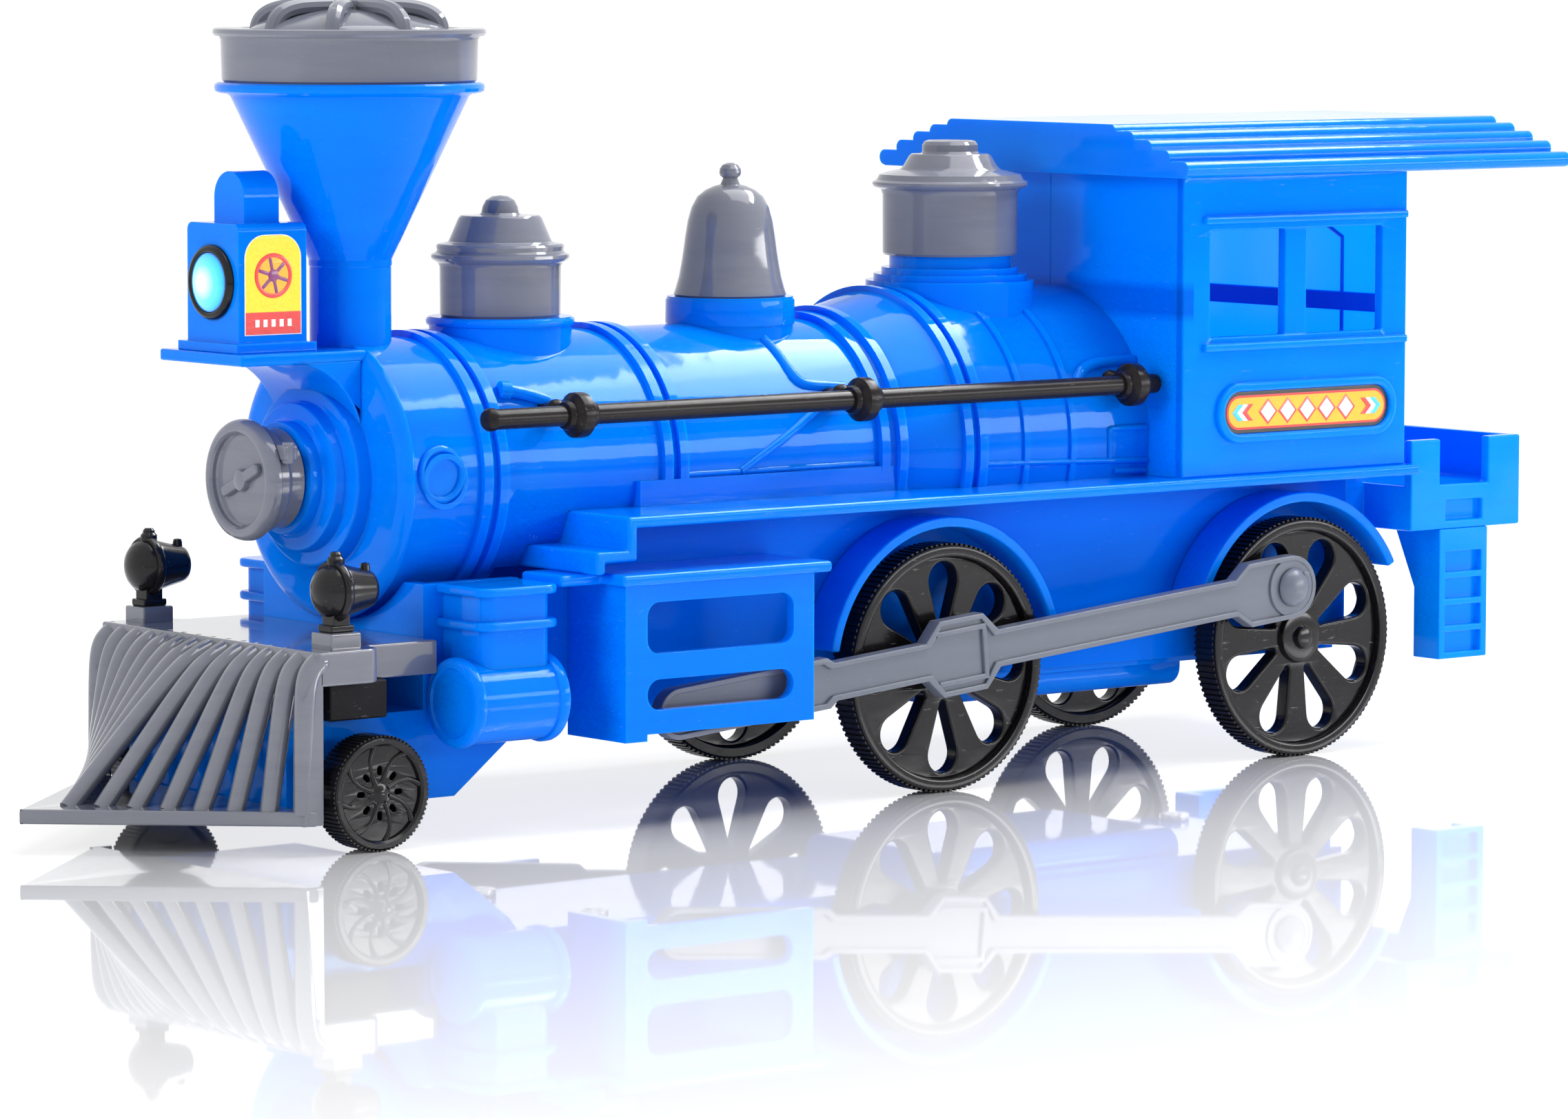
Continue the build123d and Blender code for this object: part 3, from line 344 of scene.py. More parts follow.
def objectCoords(tree):
    return addNode(tree, "ShaderNodeTexCoord").outputs["Object"]


def splitAxes(tree, vector):
    made = addNode(tree, "ShaderNodeSeparateXYZ")
    tree.links.new(vector, made.inputs[0])
    return made.outputs


def newMaterial(name):
    material = bpy.data.materials.new(name)
    material.use_nodes = True
    return material, material.node_tree, material.node_tree.nodes["Principled BSDF"]


def mouldedGroup():
    # moulded plastic: cloudy colour, flow lines from the gate, fine scuffs and settled dust
    tree = bpy.data.node_groups.new("mouldedSurface", "ShaderNodeTree")
    for way, names in (("INPUT", ("Color", "Cloud Color", "Cloud", "Flow", "Scuff", "Dust", "Roughness")),
                       ("OUTPUT", ("Color", "Roughness", "Height"))):
        for name in names:
            kind = "NodeSocketColor" if "Color" in name else "NodeSocketFloat"
            tree.interface.new_socket(name, in_out=way, socket_type=kind)
    given = addNode(tree, "NodeGroupInput").outputs
    coords = objectCoords(tree)
    cloud = addRange(tree, addNoise(tree, coords, 90, 3), 0.35, 0.68)
    broad = addRange(tree, addNoise(tree, coords, 28, 2), 0.35, 0.65)
    flow = addRange(tree, addNoise(tree, coords, 60, 4, (1, 1, 9)), 0.45, 0.62)
    fine = addNoise(tree, coords, 4200, 2)
    lines = addRange(tree, addNoise(tree, coords, 420, 6, (1, 14, 5), 0.62), 0.66, 0.7)
    cross = addRange(tree, addNoise(tree, coords, 380, 6, (16, 1, 7), 0.62), 0.67, 0.71)
    scuff = addMath(tree, "MULTIPLY", addMath(tree, "MAXIMUM", lines, cross), given["Scuff"])
    # dust lies on what faces up
    facing = splitAxes(tree, addNode(tree, "ShaderNodeNewGeometry").outputs["Normal"])["Z"]
    dust = addMath(tree, "MULTIPLY", addRange(tree, facing, 0.4, 1.0),
                   addRange(tree, addNoise(tree, coords, 700, 5), 0.5, 0.75), given["Dust"])
    worn = addMath(tree, "ADD", scuff, dust)
    clouded = addMath(tree, "MULTIPLY", addMath(tree, "ADD", cloud, broad), 0.5, given["Cloud"])
    color = addMix(tree, clouded, given["Color"], given["Cloud Color"])
    color = addMix(tree, addMath(tree, "MULTIPLY", flow, given["Flow"]), color, given["Cloud Color"])
    color = addMix(tree, addMath(tree, "MULTIPLY", worn, 0.5), color, (0.8, 0.8, 0.82, 1))
    rough = addMath(tree, "ADD", given["Roughness"], addMath(tree, "MULTIPLY", broad, 0.05))
    rough = addMath(tree, "ADD", rough, addMath(tree, "MULTIPLY", worn, 0.35), clamp=True)
    height = addMath(tree, "ADD", addMath(tree, "MULTIPLY", cloud, 0.6),
                     addMath(tree, "MULTIPLY", fine, 0.05))
    height = addMath(tree, "SUBTRACT", height, addMath(tree, "MULTIPLY", scuff, 0.4))
    done = addNode(tree, "NodeGroupOutput").inputs
    for name, value in (("Color", color), ("Roughness", rough), ("Height", height)):
        tree.links.new(value, done[name])
    return tree


mouldedSurface = mouldedGroup()


def linear(red, green, blue):
    # a colour as a screen shows it, 0 to 255, in the renderer's own scale
    return [((c / 255 + 0.055) / 1.055) ** 2.4 if c > 10 else c / 255 / 12.92
            for c in (red, green, blue)] + [1]


# painted shade: a darker stripe on the cab's front wall where an inner rail behind the thin plastic holds
# back the light coming through, in metres
railShadeBand = {"wallX": -0.0530, "low": 0.0632, "high": 0.0676, "soft": 0.0007, "color": (0, 56, 190),
           "strength": 0.6}


# mixes the painted rail shade stripe into the cab wall's colour
def railShadedColor(tree, color):
    soft = railShadeBand["soft"]
    place = splitAxes(tree, objectCoords(tree))
    rising = addRange(tree, place["Z"], railShadeBand["low"] - soft, railShadeBand["low"] + soft)
    falling = addRange(tree, place["Z"], railShadeBand["high"] + soft, railShadeBand["high"] - soft)
    onWall = addRange(tree, place["X"], railShadeBand["wallX"] - soft / 4, railShadeBand["wallX"])
    mask = addMath(tree, "MULTIPLY", rising, falling, onWall, railShadeBand["strength"])
    return addMix(tree, mask, color, linear(*railShadeBand["color"]))


def mouldedPlastic(name, color, cloudColor, cloud, flow, scuff, dust, roughness, bump, settings):
    material, tree, shader = newMaterial(name)
    surface = addNode(tree, "ShaderNodeGroup", node_tree=mouldedSurface)
    setInputs(surface, {"Color": linear(*color), "Cloud Color": linear(*cloudColor), "Cloud": cloud,
                        "Flow": flow, "Scuff": scuff, "Dust": dust, "Roughness": roughness})
    shade = surface.outputs["Color"]
    # the cab walls get the painted shade stripe of the inner rail
    tree.links.new(railShadedColor(tree, shade) if name == "cabLitPlastic" else shade, shader.inputs["Base Color"])
    tree.links.new(surface.outputs["Roughness"], shader.inputs["Roughness"])
    tree.links.new(addBump(tree, surface.outputs["Height"], bump, 0.0002), shader.inputs["Normal"])
    setInputs(shader, settings)
    return material


blueGloss = {"IOR": 1.49, "Specular IOR Level": 0.16, "Specular Tint": (0.4, 0.76, 1, 1)}
# the blue plastic lets a little light through; its faint emission is a painted glow that lifts the shade
softGlow = {**blueGloss, "Subsurface Weight": 0.3, "Subsurface Radius": (0.12, 0.5, 1.0),
            "Subsurface Scale": 0.004, "Emission Color": (0, 0.16, 1, 1), "Emission Strength": 0.02}
# two colours, then cloud, flow, scuff, dust, roughness and bump, then the shader's own settings
plasticLooks = {
    "bluePlastic": ((0, 121, 238), (0, 105, 226), 0.35, 0.18, 0.1, 0.005, 0.03, 0.25, softGlow),
    # the cab walls: a lighter copy of the blue with a stronger emission, painted light and a painted glow
    "cabLitPlastic": ((0, 127, 246), (0, 111, 234), 0.35, 0.18, 0.08, 0.005, 0.05, 0.25,
                   {**softGlow, "Emission Color": (0, 0.3, 1, 1), "Emission Strength": 0.06}),
    # the rear platform and ladders: a lighter copy of the blue with emission, painted light and a painted
    # glow
    "thinLitPlastic": ((0, 134, 246), (0, 119, 238), 0.35, 0.18, 0.08, 0.005, 0.06, 0.25,
                    {**blueGloss, "Emission Color": (0, 0.4, 1, 1), "Emission Strength": 0.035}),
    # the side frames: a darker copy of the blue with weaker gloss, painted shade below the running board
    "shadedFramePlastic": ((0, 106, 226), (0, 92, 214), 0.35, 0.18, 0.08, 0, 0.12, 0.25,
                     {**softGlow, "Specular IOR Level": 0.07, "Specular Tint": (0.3, 0.7, 1, 1)}),
    # the cross rail in the cab: a darker copy of the blue as painted shade, with a faint painted glow
    "railShadedPlastic": ((0, 80, 232), (0, 66, 206), 0.35, 0.18, 0.1, 0, 0.45, 0.25,
                        {"IOR": 1.49, "Specular IOR Level": 0.1, "Emission Color": (0, 0.06, 0.7, 1),
                         "Emission Strength": 0.25}),
    "backlitPlastic": ((0, 150, 255), (0, 140, 250), 0.3, 0.12, 0.05, 0, 0.25, 0.2,
                       {"IOR": 1.49, "Emission Color": (0, 0.36, 1, 1), "Emission Strength": 0.8}),
    "greyPlastic": ((114, 117, 128), (94, 98, 114), 0.4, 0.3, 0.12, 0.03, 0.08, 0.18, {"IOR": 1.5}),
    "pilotPlastic": ((110, 113, 123), (92, 96, 110), 0.4, 0.3, 0.1, 0.03, 0.06, 0.15,
                     {"IOR": 1.5, "Coat Weight": 0.6, "Coat Roughness": 0.03}),
    "rodPlastic": ((101, 107, 119), (88, 94, 108), 0.35, 0.25, 0.12, 0.02, 0.32, 0.3, {"IOR": 1.48}),
    "blackPlastic": ((16, 15, 18), (26, 24, 26), 0.35, 0.25, 0.2, 0.02, 0.15, 0.35,
                     {"IOR": 1.48, "Specular IOR Level": 0.3}),
    "mattePlastic": ((16, 16, 19), (24, 23, 26), 0.35, 0.25, 0.2, 0.03, 0.5, 0.35,
                     {"IOR": 1.48, "Specular IOR Level": 0.15}),
    "railPlastic": ((24, 21, 22), (38, 33, 31), 0.4, 0.35, 0.25, 0.03, 0.26, 0.4,
                    {"IOR": 1.48, "Specular IOR Level": 0.16}),
}
(blue, cabLitBlue, thinLitBlue, shadedFrameBlue, railShadedBlue, backlit, grey, pilotGrey, rodGrey, black, matteBlack,
 railBlack) = (mouldedPlastic(name, *look) for name, look in plasticLooks.items())


def printedFilm(name, color):
    # sticker ink: faint print grain and a slightly uneven gloss
    material, tree, shader = newMaterial(name)
    coords = objectCoords(tree)
    tint = [c * 0.86 for c in linear(*color)[:3]] + [1]
    grain = addRange(tree, addNoise(tree, coords, 2600, 3), 0.42, 0.66)
    tree.links.new(addMix(tree, addMath(tree, "MULTIPLY", grain, 0.5), linear(*color), tint),
                   shader.inputs["Base Color"])
    tree.links.new(addRange(tree, addNoise(tree, coords, 320, 3), 0.3, 0.7, 0.28, 0.4),
                   shader.inputs["Roughness"])
    tree.links.new(addBump(tree, grain, 0.12, 0.0001), shader.inputs["Normal"])
    setInputs(shader, {"Coat Weight": 0.3})
    return material


def brushedSteel():
    # turned steel: fine rings along the rod and a little haze
    material, tree, shader = newMaterial("brushedSteel")
    rings = addNoise(tree, objectCoords(tree), 500, 4, (0.2, 14, 0.2))
    tree.links.new(addMix(tree, rings, (0.42, 0.42, 0.43, 1), (0.62, 0.62, 0.63, 1)),
                   shader.inputs["Base Color"])
    tree.links.new(addRange(tree, rings, 0.3, 0.7, 0.22, 0.38), shader.inputs["Roughness"])
    setInputs(shader, {"Metallic": 1.0})
    return material


# the lens from its middle to its rim
lensStops = ((0.0, (240, 230, 248)), (0.3, (196, 230, 252)), (0.62, (84, 210, 252)), (0.92, (34, 180, 246)),
             (1.0, (12, 104, 200)))


def glowingLens(centre, radius):
    # the lamp's printed lens: white in the middle, cyan, then deep blue at the rim
    material, tree, shader = newMaterial("glowingLens")
    centred = addNode(tree, "ShaderNodeMapping", vector_type="POINT")
    centred.inputs["Location"].default_value = [-c * mm for c in centre]
    tree.links.new(objectCoords(tree), centred.inputs["Vector"])
    place = splitAxes(tree, centred.outputs["Vector"])
    across, upward = (addMath(tree, "POWER", place[axis], 2.0) for axis in "YZ")
    far = addMath(tree, "SQRT", addMath(tree, "ADD", across, upward))
    ramp = addNode(tree, "ShaderNodeValToRGB")
    while len(ramp.color_ramp.elements) < len(lensStops):
        ramp.color_ramp.elements.new(0.5)
    for element, (position, color) in zip(ramp.color_ramp.elements, lensStops):
        element.position = position
        element.color = linear(*color)
    tree.links.new(addRange(tree, far, 0.0, radius * mm), ramp.inputs["Fac"])
    for socket in ("Base Color", "Emission Color"):
        tree.links.new(ramp.outputs["Color"], shader.inputs[socket])
    # the emission paints a faint glow on the lens, which is no lamp
    setInputs(shader, {"Emission Strength": 0.35, "Roughness": 0.08, "Coat Weight": 0.6})
    return material


steel = brushedSteel()
filmColors = {"Yellow": (250, 222, 12), "Red": (232, 52, 48), "Orange": (250, 180, 20), "Black": (36, 34, 34),
              "White": (244, 244, 244), "Cyan": (60, 196, 236), "Violet": (132, 42, 110)}
films = {key: printedFilm("film" + key, color) for key, color in filmColors.items()}
print("finishes ready")


def softCopy(node, material, edge, top=None):
    # a solid that keeps its shape: welded, with rounded edges
    bm = bmesh.new()
    bm.from_mesh(frame["nodes"][node].data)
    bmesh.ops.scale(bm, vec=(1 / mm, 1 / mm, 1 / mm), verts=bm.verts)
    if top:
        for vert in bm.verts:
            vert.co.z = min(vert.co.z, top)
    bmesh.ops.remove_doubles(bm, verts=bm.verts, dist=0.0008)
    bmesh.ops.dissolve_limit(bm, angle_limit=radians(0.4), verts=bm.verts, edges=bm.edges)
    makePiece(node + "_shell", soften(bm, edge, 2, 40), material, root, (node,))


# edge radius by node, or by the name that a left and a right node share
bodyShells = {"side_frame": 0.2, "guide_box": 0.5, "guide_shelf": 0.45, "splasher_front": 0.3,
              "splasher_rear": 0.3, "boiler": 0.3, "rear_platform": 0.3, "ladder": 0.2, "running_board": 0.45,
              "cab_roof": 0.2, "headlamp_box": 1.0, "belly": 0.3, "base_cover": 0.2}
ownPlastic = {"side_frame": shadedFrameBlue, "rear_platform": thinLitBlue, "ladder": thinLitBlue}
for nodeName, edge in bodyShells.items():
    for side in ("_left", "_right") if nodeName + "_left" in frame["nodes"] else ("",):
        softCopy(nodeName + side, ownPlastic.get(nodeName, blue), edge)
# the front frame's saddle stays hidden behind the valve chests
softCopy("front_frame", blue, 0.3, top=corners("cylinder_left")[1].z)
softCopy("bolster", matteBlack, 0.3)
print("body shells softened")


def teardropLoop(look, angle, x, z):
    # the gap between two spokes: two round ends and their straight tangents
    rIn, rOut, atIn, atOut = pick(look, "gapInner gapOuter gapFrom gapTo")
    lean = asin((rOut - rIn) / (atOut - atIn))
    reach = 4 / 3 * rOut * sin((pi / 2 + lean) / 4) / cos((pi / 2 + lean) / 4)
    inX, inY = atIn - rIn * sin(lean), rIn * cos(lean)
    outX, outY = atOut - rOut * sin(lean), rOut * cos(lean)
    stepX, stepY = cos(lean) * reach, sin(lean) * reach
    tip, far = atIn - rIn, atOut + rOut
    loop = [((tip, 0), (tip, inY * 0.6), (tip, -inY * 0.6)), ((inX, -inY),) * 3,
            ((outX, -outY), (outX, -outY), (outX + stepX, -outY - stepY)),
            ((far, 0), (far, -reach), (far, reach)),
            ((outX, outY), (outX + stepX, outY + stepY), (outX, outY)), ((inX, inY),) * 3]
    return turnLoop(loop, angle, x, z)


def wheelPlace(node):
    # centre along and up, radius, inner and outer face
    low, high = corners(node)
    centre = (low + high) / 2
    return centre.x, centre.z, (high.z - low.z) / 2, low.y, high.y


def treadRibs(x, z, radius, inner, outer, count, width):
    bm = block((x - width / 2, inner, z + radius - 0.3), (x + width / 2, outer, z + radius), 0)
    bmesh.ops.spin(bm, geom=bm.verts[:] + bm.edges[:] + bm.faces[:], cent=(x, 0, z), axis=(0, 1, 0),
                   dvec=(0, 0, 0), angle=2 * pi * (count - 1) / count, steps=count - 1, use_merge=False,
                   use_duplicate=True)
    return bm


driveLook = {"wide": 4.4, "rimWall": 1.85, "ribs": 120, "ribHigh": 0.22, "ribWidth": 0.42, "recess": 1.0,
             "web": 2.4, "gaps": 8, "gapInner": 0.5, "gapOuter": 2.5, "gapFrom": 5.0, "gapTo": 11.9,
             "hub": 3.8, "boss": 1.6, "crankSeat": 2.6, "crankAt": (5.3, 7.7)}


def driveWheel(node, turn, crank=False):
    look = driveLook
    x, z, radius, inner, _ = wheelPlace(node)
    outer = inner + look["wide"]
    tread, well = radius - look["ribHigh"], radius - look["rimWall"]
    face, back = outer - look["recess"], outer - look["recess"] - look["web"]
    rim = lathe(near(well, inner, (0, 0.2), (0.2, 0)) + near(tread, inner, (-0.3, 0), (0, 0.3))
                + near(tread, outer, (0, -0.45), (-0.12, -0.15), (-0.4, 0))
                + near(well, outer, (0.45, 0), (0.15, -0.12), (0, -0.4)), "Y", (x, 0, z), 120, closed=True)
    gaps = [teardropLoop(look, turn + k * 2 * pi / look["gaps"], x, z) for k in range(look["gaps"])]
    web = cutout([ringLoop(x, z, well + 0.2)] + gaps, "side", back, face, 0.4, 3, 8)
    boss, disc = look["boss"], look["hub"]
    hub = lathe([(0, outer + 0.9), (boss * 0.55, outer + 0.84), (boss * 0.9, outer + 0.6)]
            + near(boss, outer, (0, 0.2), (0.1, -0.1)) + near(disc, outer, (-0.9, -0.15), (-0.3, -0.35))
            + [(disc, face - 0.1), (disc, inner + 0.2), (disc - 0.3, inner), (0, inner)], "Y", (x, 0, z), 48)
    ribs = treadRibs(x, z, radius, inner + 0.25, outer - 0.4, look["ribs"], look["ribWidth"])
    shapes = [rim, web, hub, ribs]
    if crank:
        (atX, atZ), seat = look["crankAt"], look["crankSeat"]
        shapes.append(lathe([(0, outer + 0.9), (seat - 0.4, outer + 0.9), (seat, outer + 0.55),
                             (seat, inner + 0.1), (0, inner + 0.1)], "Y", (x + atX, 0, z + atZ), 40))
    return joined(*shapes)


bothSides("drive_wheel_front_spoked", driveWheel("drive_wheel_front_left", 0.0), black,
          ("front_wheelset",) * 2, "drive_wheel_front")
bothSides("drive_wheel_rear_spoked", driveWheel("drive_wheel_rear_left", radians(22.5), True), black,
          ("rear_wheelset",) * 2, "drive_wheel_rear")

leadLook = {"rimWall": 1.33, "ribs": 72, "ribHigh": 0.14, "ribWidth": 0.32, "recess": 0.7, "web": 3.2,
            "slots": 8, "slotFrom": 2.3, "slotTo": 3.5, "slotHalf": 0.36, "hub": 1.5, "sweep": 0.3}
# curved spokes: reach from the hub's middle, swing, thickness; then swing and thickness at the rim
sweptSpoke = ((1.3, -0.06, 1.3), (2.6, 0.0, 0.9), (3.9, 0.08, 0.85), (5.2, 0.2, 0.9))
sweptEnd = (0.36, 1.4)


def leadWheel(node):
    look = leadLook
    x, z, radius, inner, outer = wheelPlace(node)
    tread, well = radius - look["ribHigh"], radius - look["rimWall"]
    count, start, end, half, hub = pick(look, "slots slotFrom slotTo slotHalf hub")
    face = outer - look["recess"]
    rim = (near(well, inner, (0, 0.2), (0.2, 0)) + near(tread, inner, (-0.3, 0), (0, 0.3))
           + near(tread, outer, (0, -0.4), (-0.3, 0)) + near(well, outer, (0.3, 0), (0, -0.3)))
    middleDisc = (near(0, outer, (0, -0.2), (0.5, -0.22), (0.8, -0.45), (hub, -0.5))
                  + [(hub + 0.25, face - 0.1), (hub + 0.3, inner + 0.3), (0, inner + 0.3)])
    shapes = [lathe(rim, "Y", (x, 0, z), closed=True), lathe(middleDisc, "Y", (x, 0, z), 36),
              treadRibs(x, z, radius, inner + 0.2, outer - 0.35, look["ribs"], look["ribWidth"])]
    slots, spoke = [], (*sweptSpoke, (well + 0.1, *sweptEnd))
    for k in range(count):
        turn = k * 2 * pi / count
        slots.append(turnLoop(roundLoop(start, end, -half, half, half * 0.98), turn, x, z))
        turn += look["sweep"]
        path = [(x + far * cos(turn + swing), face - 0.1, z + far * sin(turn + swing))
                for far, swing, _ in spoke]
        shapes.append(tube(path, half, 4, 3, radii=[thick for _, _, thick in spoke]))
    shapes.append(cutout([ringLoop(x, z, well + 0.2)] + slots, "side", face - look["web"], face, 0.12, 2, 6))
    return joined(*shapes)


bothSides("lead_wheel_grooved", leadWheel("lead_wheel_left"), black, ("lead_wheelset",) * 2,
          "lead_wheel")
print("wheels turned")

rodLook = {"eye": 4.5, "eyeLong": 8.1, "bar": 2.6, "block": 5.25, "blockFrom": 54.6, "blockTo": 67.6,
           "foot": 3.45, "footFrom": 84.7, "tip": 113.4, "taper": 2.6, "slope": 5.3, "border": 0.8,
           "bore": 1.8, "frame": (56.8, 65.6, 3.8), "frameWide": 0.75}


def rodLoop(inset):
    look = rodLook
    e, b, m, f = (look[key] - inset for key in ("eye", "bar", "block", "foot"))
    t = look["taper"]
    run = [(look["eyeLong"], e), (look["eyeLong"] + t, b), (look["blockFrom"] + inset, b),
           (look["blockFrom"] + t + inset * 0.4, m), (look["blockTo"] - t - inset * 0.4, m),
           (look["blockTo"] - inset, b), (look["footFrom"] - t / 2 + inset, b), (look["footFrom"] + inset, f)]
    tip = look["tip"] - inset
    swell, bend, reach = e * quarter, tip - f * cornerGap, f * quarter
    # round the eye, along the lower edge, round the tip and back along the upper edge
    return ([((-e, 0), (-e, swell), (-e, -swell)), ((0, -e), (-swell, -e), (0, -e))]
            + flatLoop(*((x, -y) for x, y in run))
            + [((tip - f, -f), (tip - f, -f), (bend, -f)), ((tip, 0), (tip, -reach), (tip, reach)),
               ((tip - f, f), (bend, f), (tip - f, f))]
            + flatLoop(*reversed(run)) + [((0, e), (0, e), (-swell, e))])


def sideRod():
    look = rodLook
    pin = middle("crank_pin_left")
    low, high = corners("side_rod_left")
    slope = -radians(look["slope"])

    def placed(loop):
        return turnLoop(loop, slope, pin.x, pin.z)

    bore = placed(ringLoop(0, 0, look["bore"]))
    floor = high.y - 0.45
    base = cutout([placed(rodLoop(0)), bore], "side", low.y, floor, 0.2, 2, 8)
    border = cutout([placed(rodLoop(0.02)), placed(rodLoop(look["border"]))], "side", floor - 0.3, high.y,
                    0.16, 2, 8)
    eye = cutout([placed(ringLoop(0, 0, look["eye"] - 0.3)), bore], "side", floor - 0.2, high.y - 0.1, 0.12)
    (x0, x1, h), wide = look["frame"], look["frameWide"]
    # a raised frame on the middle block, open towards the front
    frameLoop = flatLoop((x1, h - wide), (x0 + wide, h - wide), (x0 + wide, -h + wide), (x1, -h + wide),
                         (x1, -h), (x0, -h), (x0, h), (x1, h))
    return joined(base, border, eye, cutout([placed(frameLoop)], "side", floor - 0.2, high.y, 0.12))


bothSides("side_rod_moulded", sideRod(), rodGrey, ("rod_left", "rod_right"), "side_rod")


def crankPin():
    x, z, _, foot, top = wheelPlace("crank_pin_left")
    shaft = lathe(near(0, top, (0, 0), (0.9, -0.1), (1.7, -0.42), (2.35, -0.95), (2.7, -1.45), (2.72, -1.6),
                       (1.7, -1.6))
                  + near(0, foot, (1.7, 0.2), (1.5, 0), (0, 0)), "Y", (x, 0, z), 48)
    # moulding flash left at the rim
    flash = ball(0.42, (x - 1.6, top - 0.85, z + 1.9), (1.5, 0.7, 1.0), 8)
    return joined(shaft, flash)


bothSides("crank_pin_domed", crankPin(), rodGrey, ("rear_wheelset",) * 2, "crank_pin")
print("rods shaped")

# funnel, domes and bell
boilerMid = middle("smokebox_door").z
stackLook = {"foot": 12, "tube": 5.45, "coneFrom": 73.9, "mouth": 15.5, "ring": 17.6, "ringLow": 95.6,
             "wall": 1.5}


def funnel():
    look = stackLook
    low, high = corners("smokestack")
    centre = ((low.x + high.x) / 2, 0, 0)
    neck, cone, mouth, ring, under, wall = pick(look, "tube coneFrom mouth ring ringLow wall")
    foot, top = boilerMid + look["foot"], high.z
    profile = ([(neck - 0.1, foot)] + near(neck, cone, (-0.1, -0.9), (0, -0.7), (0, 0.05))
               + near(mouth, under, (0, -0.5), (0.5, -0.05))
               + near(ring, under, (-0.5, 0), (-0.1, 0.25), (0, 0.7))
               + near(ring, top, (-0.1, -0.25), (-0.5, 0))
               + [(mouth - wall, top), (mouth - wall, under), (neck - wall, cone), (neck - wall, foot)])
    return lathe(profile, "Z", centre, 128, closed=True)


makePiece("smokestack_funnel", funnel(), blue, replaces=("smokestack",), smooth=24)

capLook = {"drum": 16.6, "flange": 17.8, "flangeLow": 103.0, "flangeTop": 104.0, "dome": 12.7,
           "domeHigh": 2.6, "hub": 3.2, "ribs": 8, "rib": 1.1}
# reach and height above the flange along one rib
ribLine = ((12.1, -0.5), (12.0, 0.6), (11.0, 1.8), (9.2, 2.5), (6.6, 2.78), (2.2, 2.8))


def stackCap():
    look = capLook
    low, high = corners("stack_cap")
    x, seat, crown = (low.x + high.x) / 2, corners("smokestack")[1].z, high.z
    drum, flange, under, top = pick(look, "drum flange flangeLow flangeTop")
    dome, rise, hub = pick(look, "dome domeHigh hub")
    profile = ([(0, seat)] + near(drum, seat, (-0.3, 0), (0, 0.3))
               + near(drum, under, (0.15, -0.5), (0.35, -0.1)) + near(flange, under, (-0.3, 0), (0, 0.35))
               + near(flange, top, (-0.1, -0.15), (-0.4, 0))
               + near(dome, top, (1.6, 0), (1.3, -0.2), (0.2, -0.2)))
    profile += [(dome * s, top + rise * (1 - s * s) ** 0.75)
                for s in (1, 0.97, 0.92, 0.84, 0.72, 0.56, 0.36, 0.18, 0)]
    shapes = [lathe(profile, "Z", (x, 0, 0), 128)]
    shapes.append(lathe([(0, crown)] + near(hub, crown, (-0.8, -0.05), (-0.2, -0.35), (0, -0.9))
                        + [(hub, top + 1), (0, top + 1)], "Z", (x, 0, 0), 48))
    for k in range(look["ribs"]):
        a = 2 * pi * k / look["ribs"]
        path = [(x + reach * cos(a), reach * sin(a), top + up) for reach, up in ribLine]
        shapes.append(tube(path, look["rib"], 5, 3))
    return joined(*shapes)


makePiece("stack_cap_ribbed", stackCap(), grey, replaces=("stack_cap",), smooth=30)

# radius, height above the seat
sandProfile = ((7.8, 0), (8.0, 0.3), (8.05, 6.6), (8.3, 7.1), (9.0, 7.5), (9.2, 7.8), (9.15, 8.2),
               (8.6, 8.45), (8.4, 8.75), (8.5, 9.3), (8.3, 9.6), (7.2, 9.75), (6.85, 9.95), (5.55, 13.0),
               (5.2, 13.35), (2.75, 13.45), (2.5, 13.7), (2.35, 14.5), (1.9, 15.35), (1.1, 15.85), (0, 16.0))
bellProfile = ((7.5, 0), (7.7, 0.25), (7.45, 1.0), (7.0, 2.6), (6.7, 4.2), (6.4, 6.1), (6.15, 8.0),
               (5.8, 10.2), (5.3, 12.0), (4.5, 13.5), (3.4, 14.4), (2.2, 14.95), (1.35, 15.15), (1.15, 15.6),
               (1.0, 16.0), (1.35, 16.3), (1.5, 16.7), (1.42, 17.3), (1.05, 17.8), (0.5, 18.05), (0, 18.1))
steamProfile = ((9.2, 0), (9.4, 0.3), (9.45, 8.4), (9.7, 9.1), (10.7, 9.5), (10.9, 9.8), (10.85, 10.15),
                (10.3, 10.45), (10.1, 10.8), (9.9, 11.2), (8.2, 11.6), (7.1, 11.85), (6.6, 12.3), (5.7, 13.8),
                (5.4, 14.05), (4.1, 14.15), (3.9, 14.4), (3.9, 15.3), (3.6, 15.75), (3.1, 15.95), (0, 16.0))
for nodeName, profile in (("sand_dome", sandProfile), ("bell", bellProfile), ("steam_dome", steamProfile)):
    low, high = corners(nodeName)
    dome = lathe([(0, low.z)] + [(r, low.z + h) for r, h in profile], "Z", ((low.x + high.x) / 2, 0, 0))
    makePiece(nodeName + "_turned", dome, grey, replaces=(nodeName,), smooth=28)
print("stack, domes and bell turned")

# raised mouldings on the boiler
boilerLook = {"barrel": 17.7, "firebox": 21.0, "taperFrom": -5.0, "taperTo": -17.0}


def onBoiler(x, degrees, lift=0.0):
    barrel, firebox, start, end = pick(boilerLook, "barrel firebox taperFrom taperTo")
    radius = barrel + min(1, max(0, (start - x) / (start - end))) * (firebox - barrel) + lift
    a = radians(degrees)
    return (x, radius * sin(a), boilerMid + radius * cos(a))


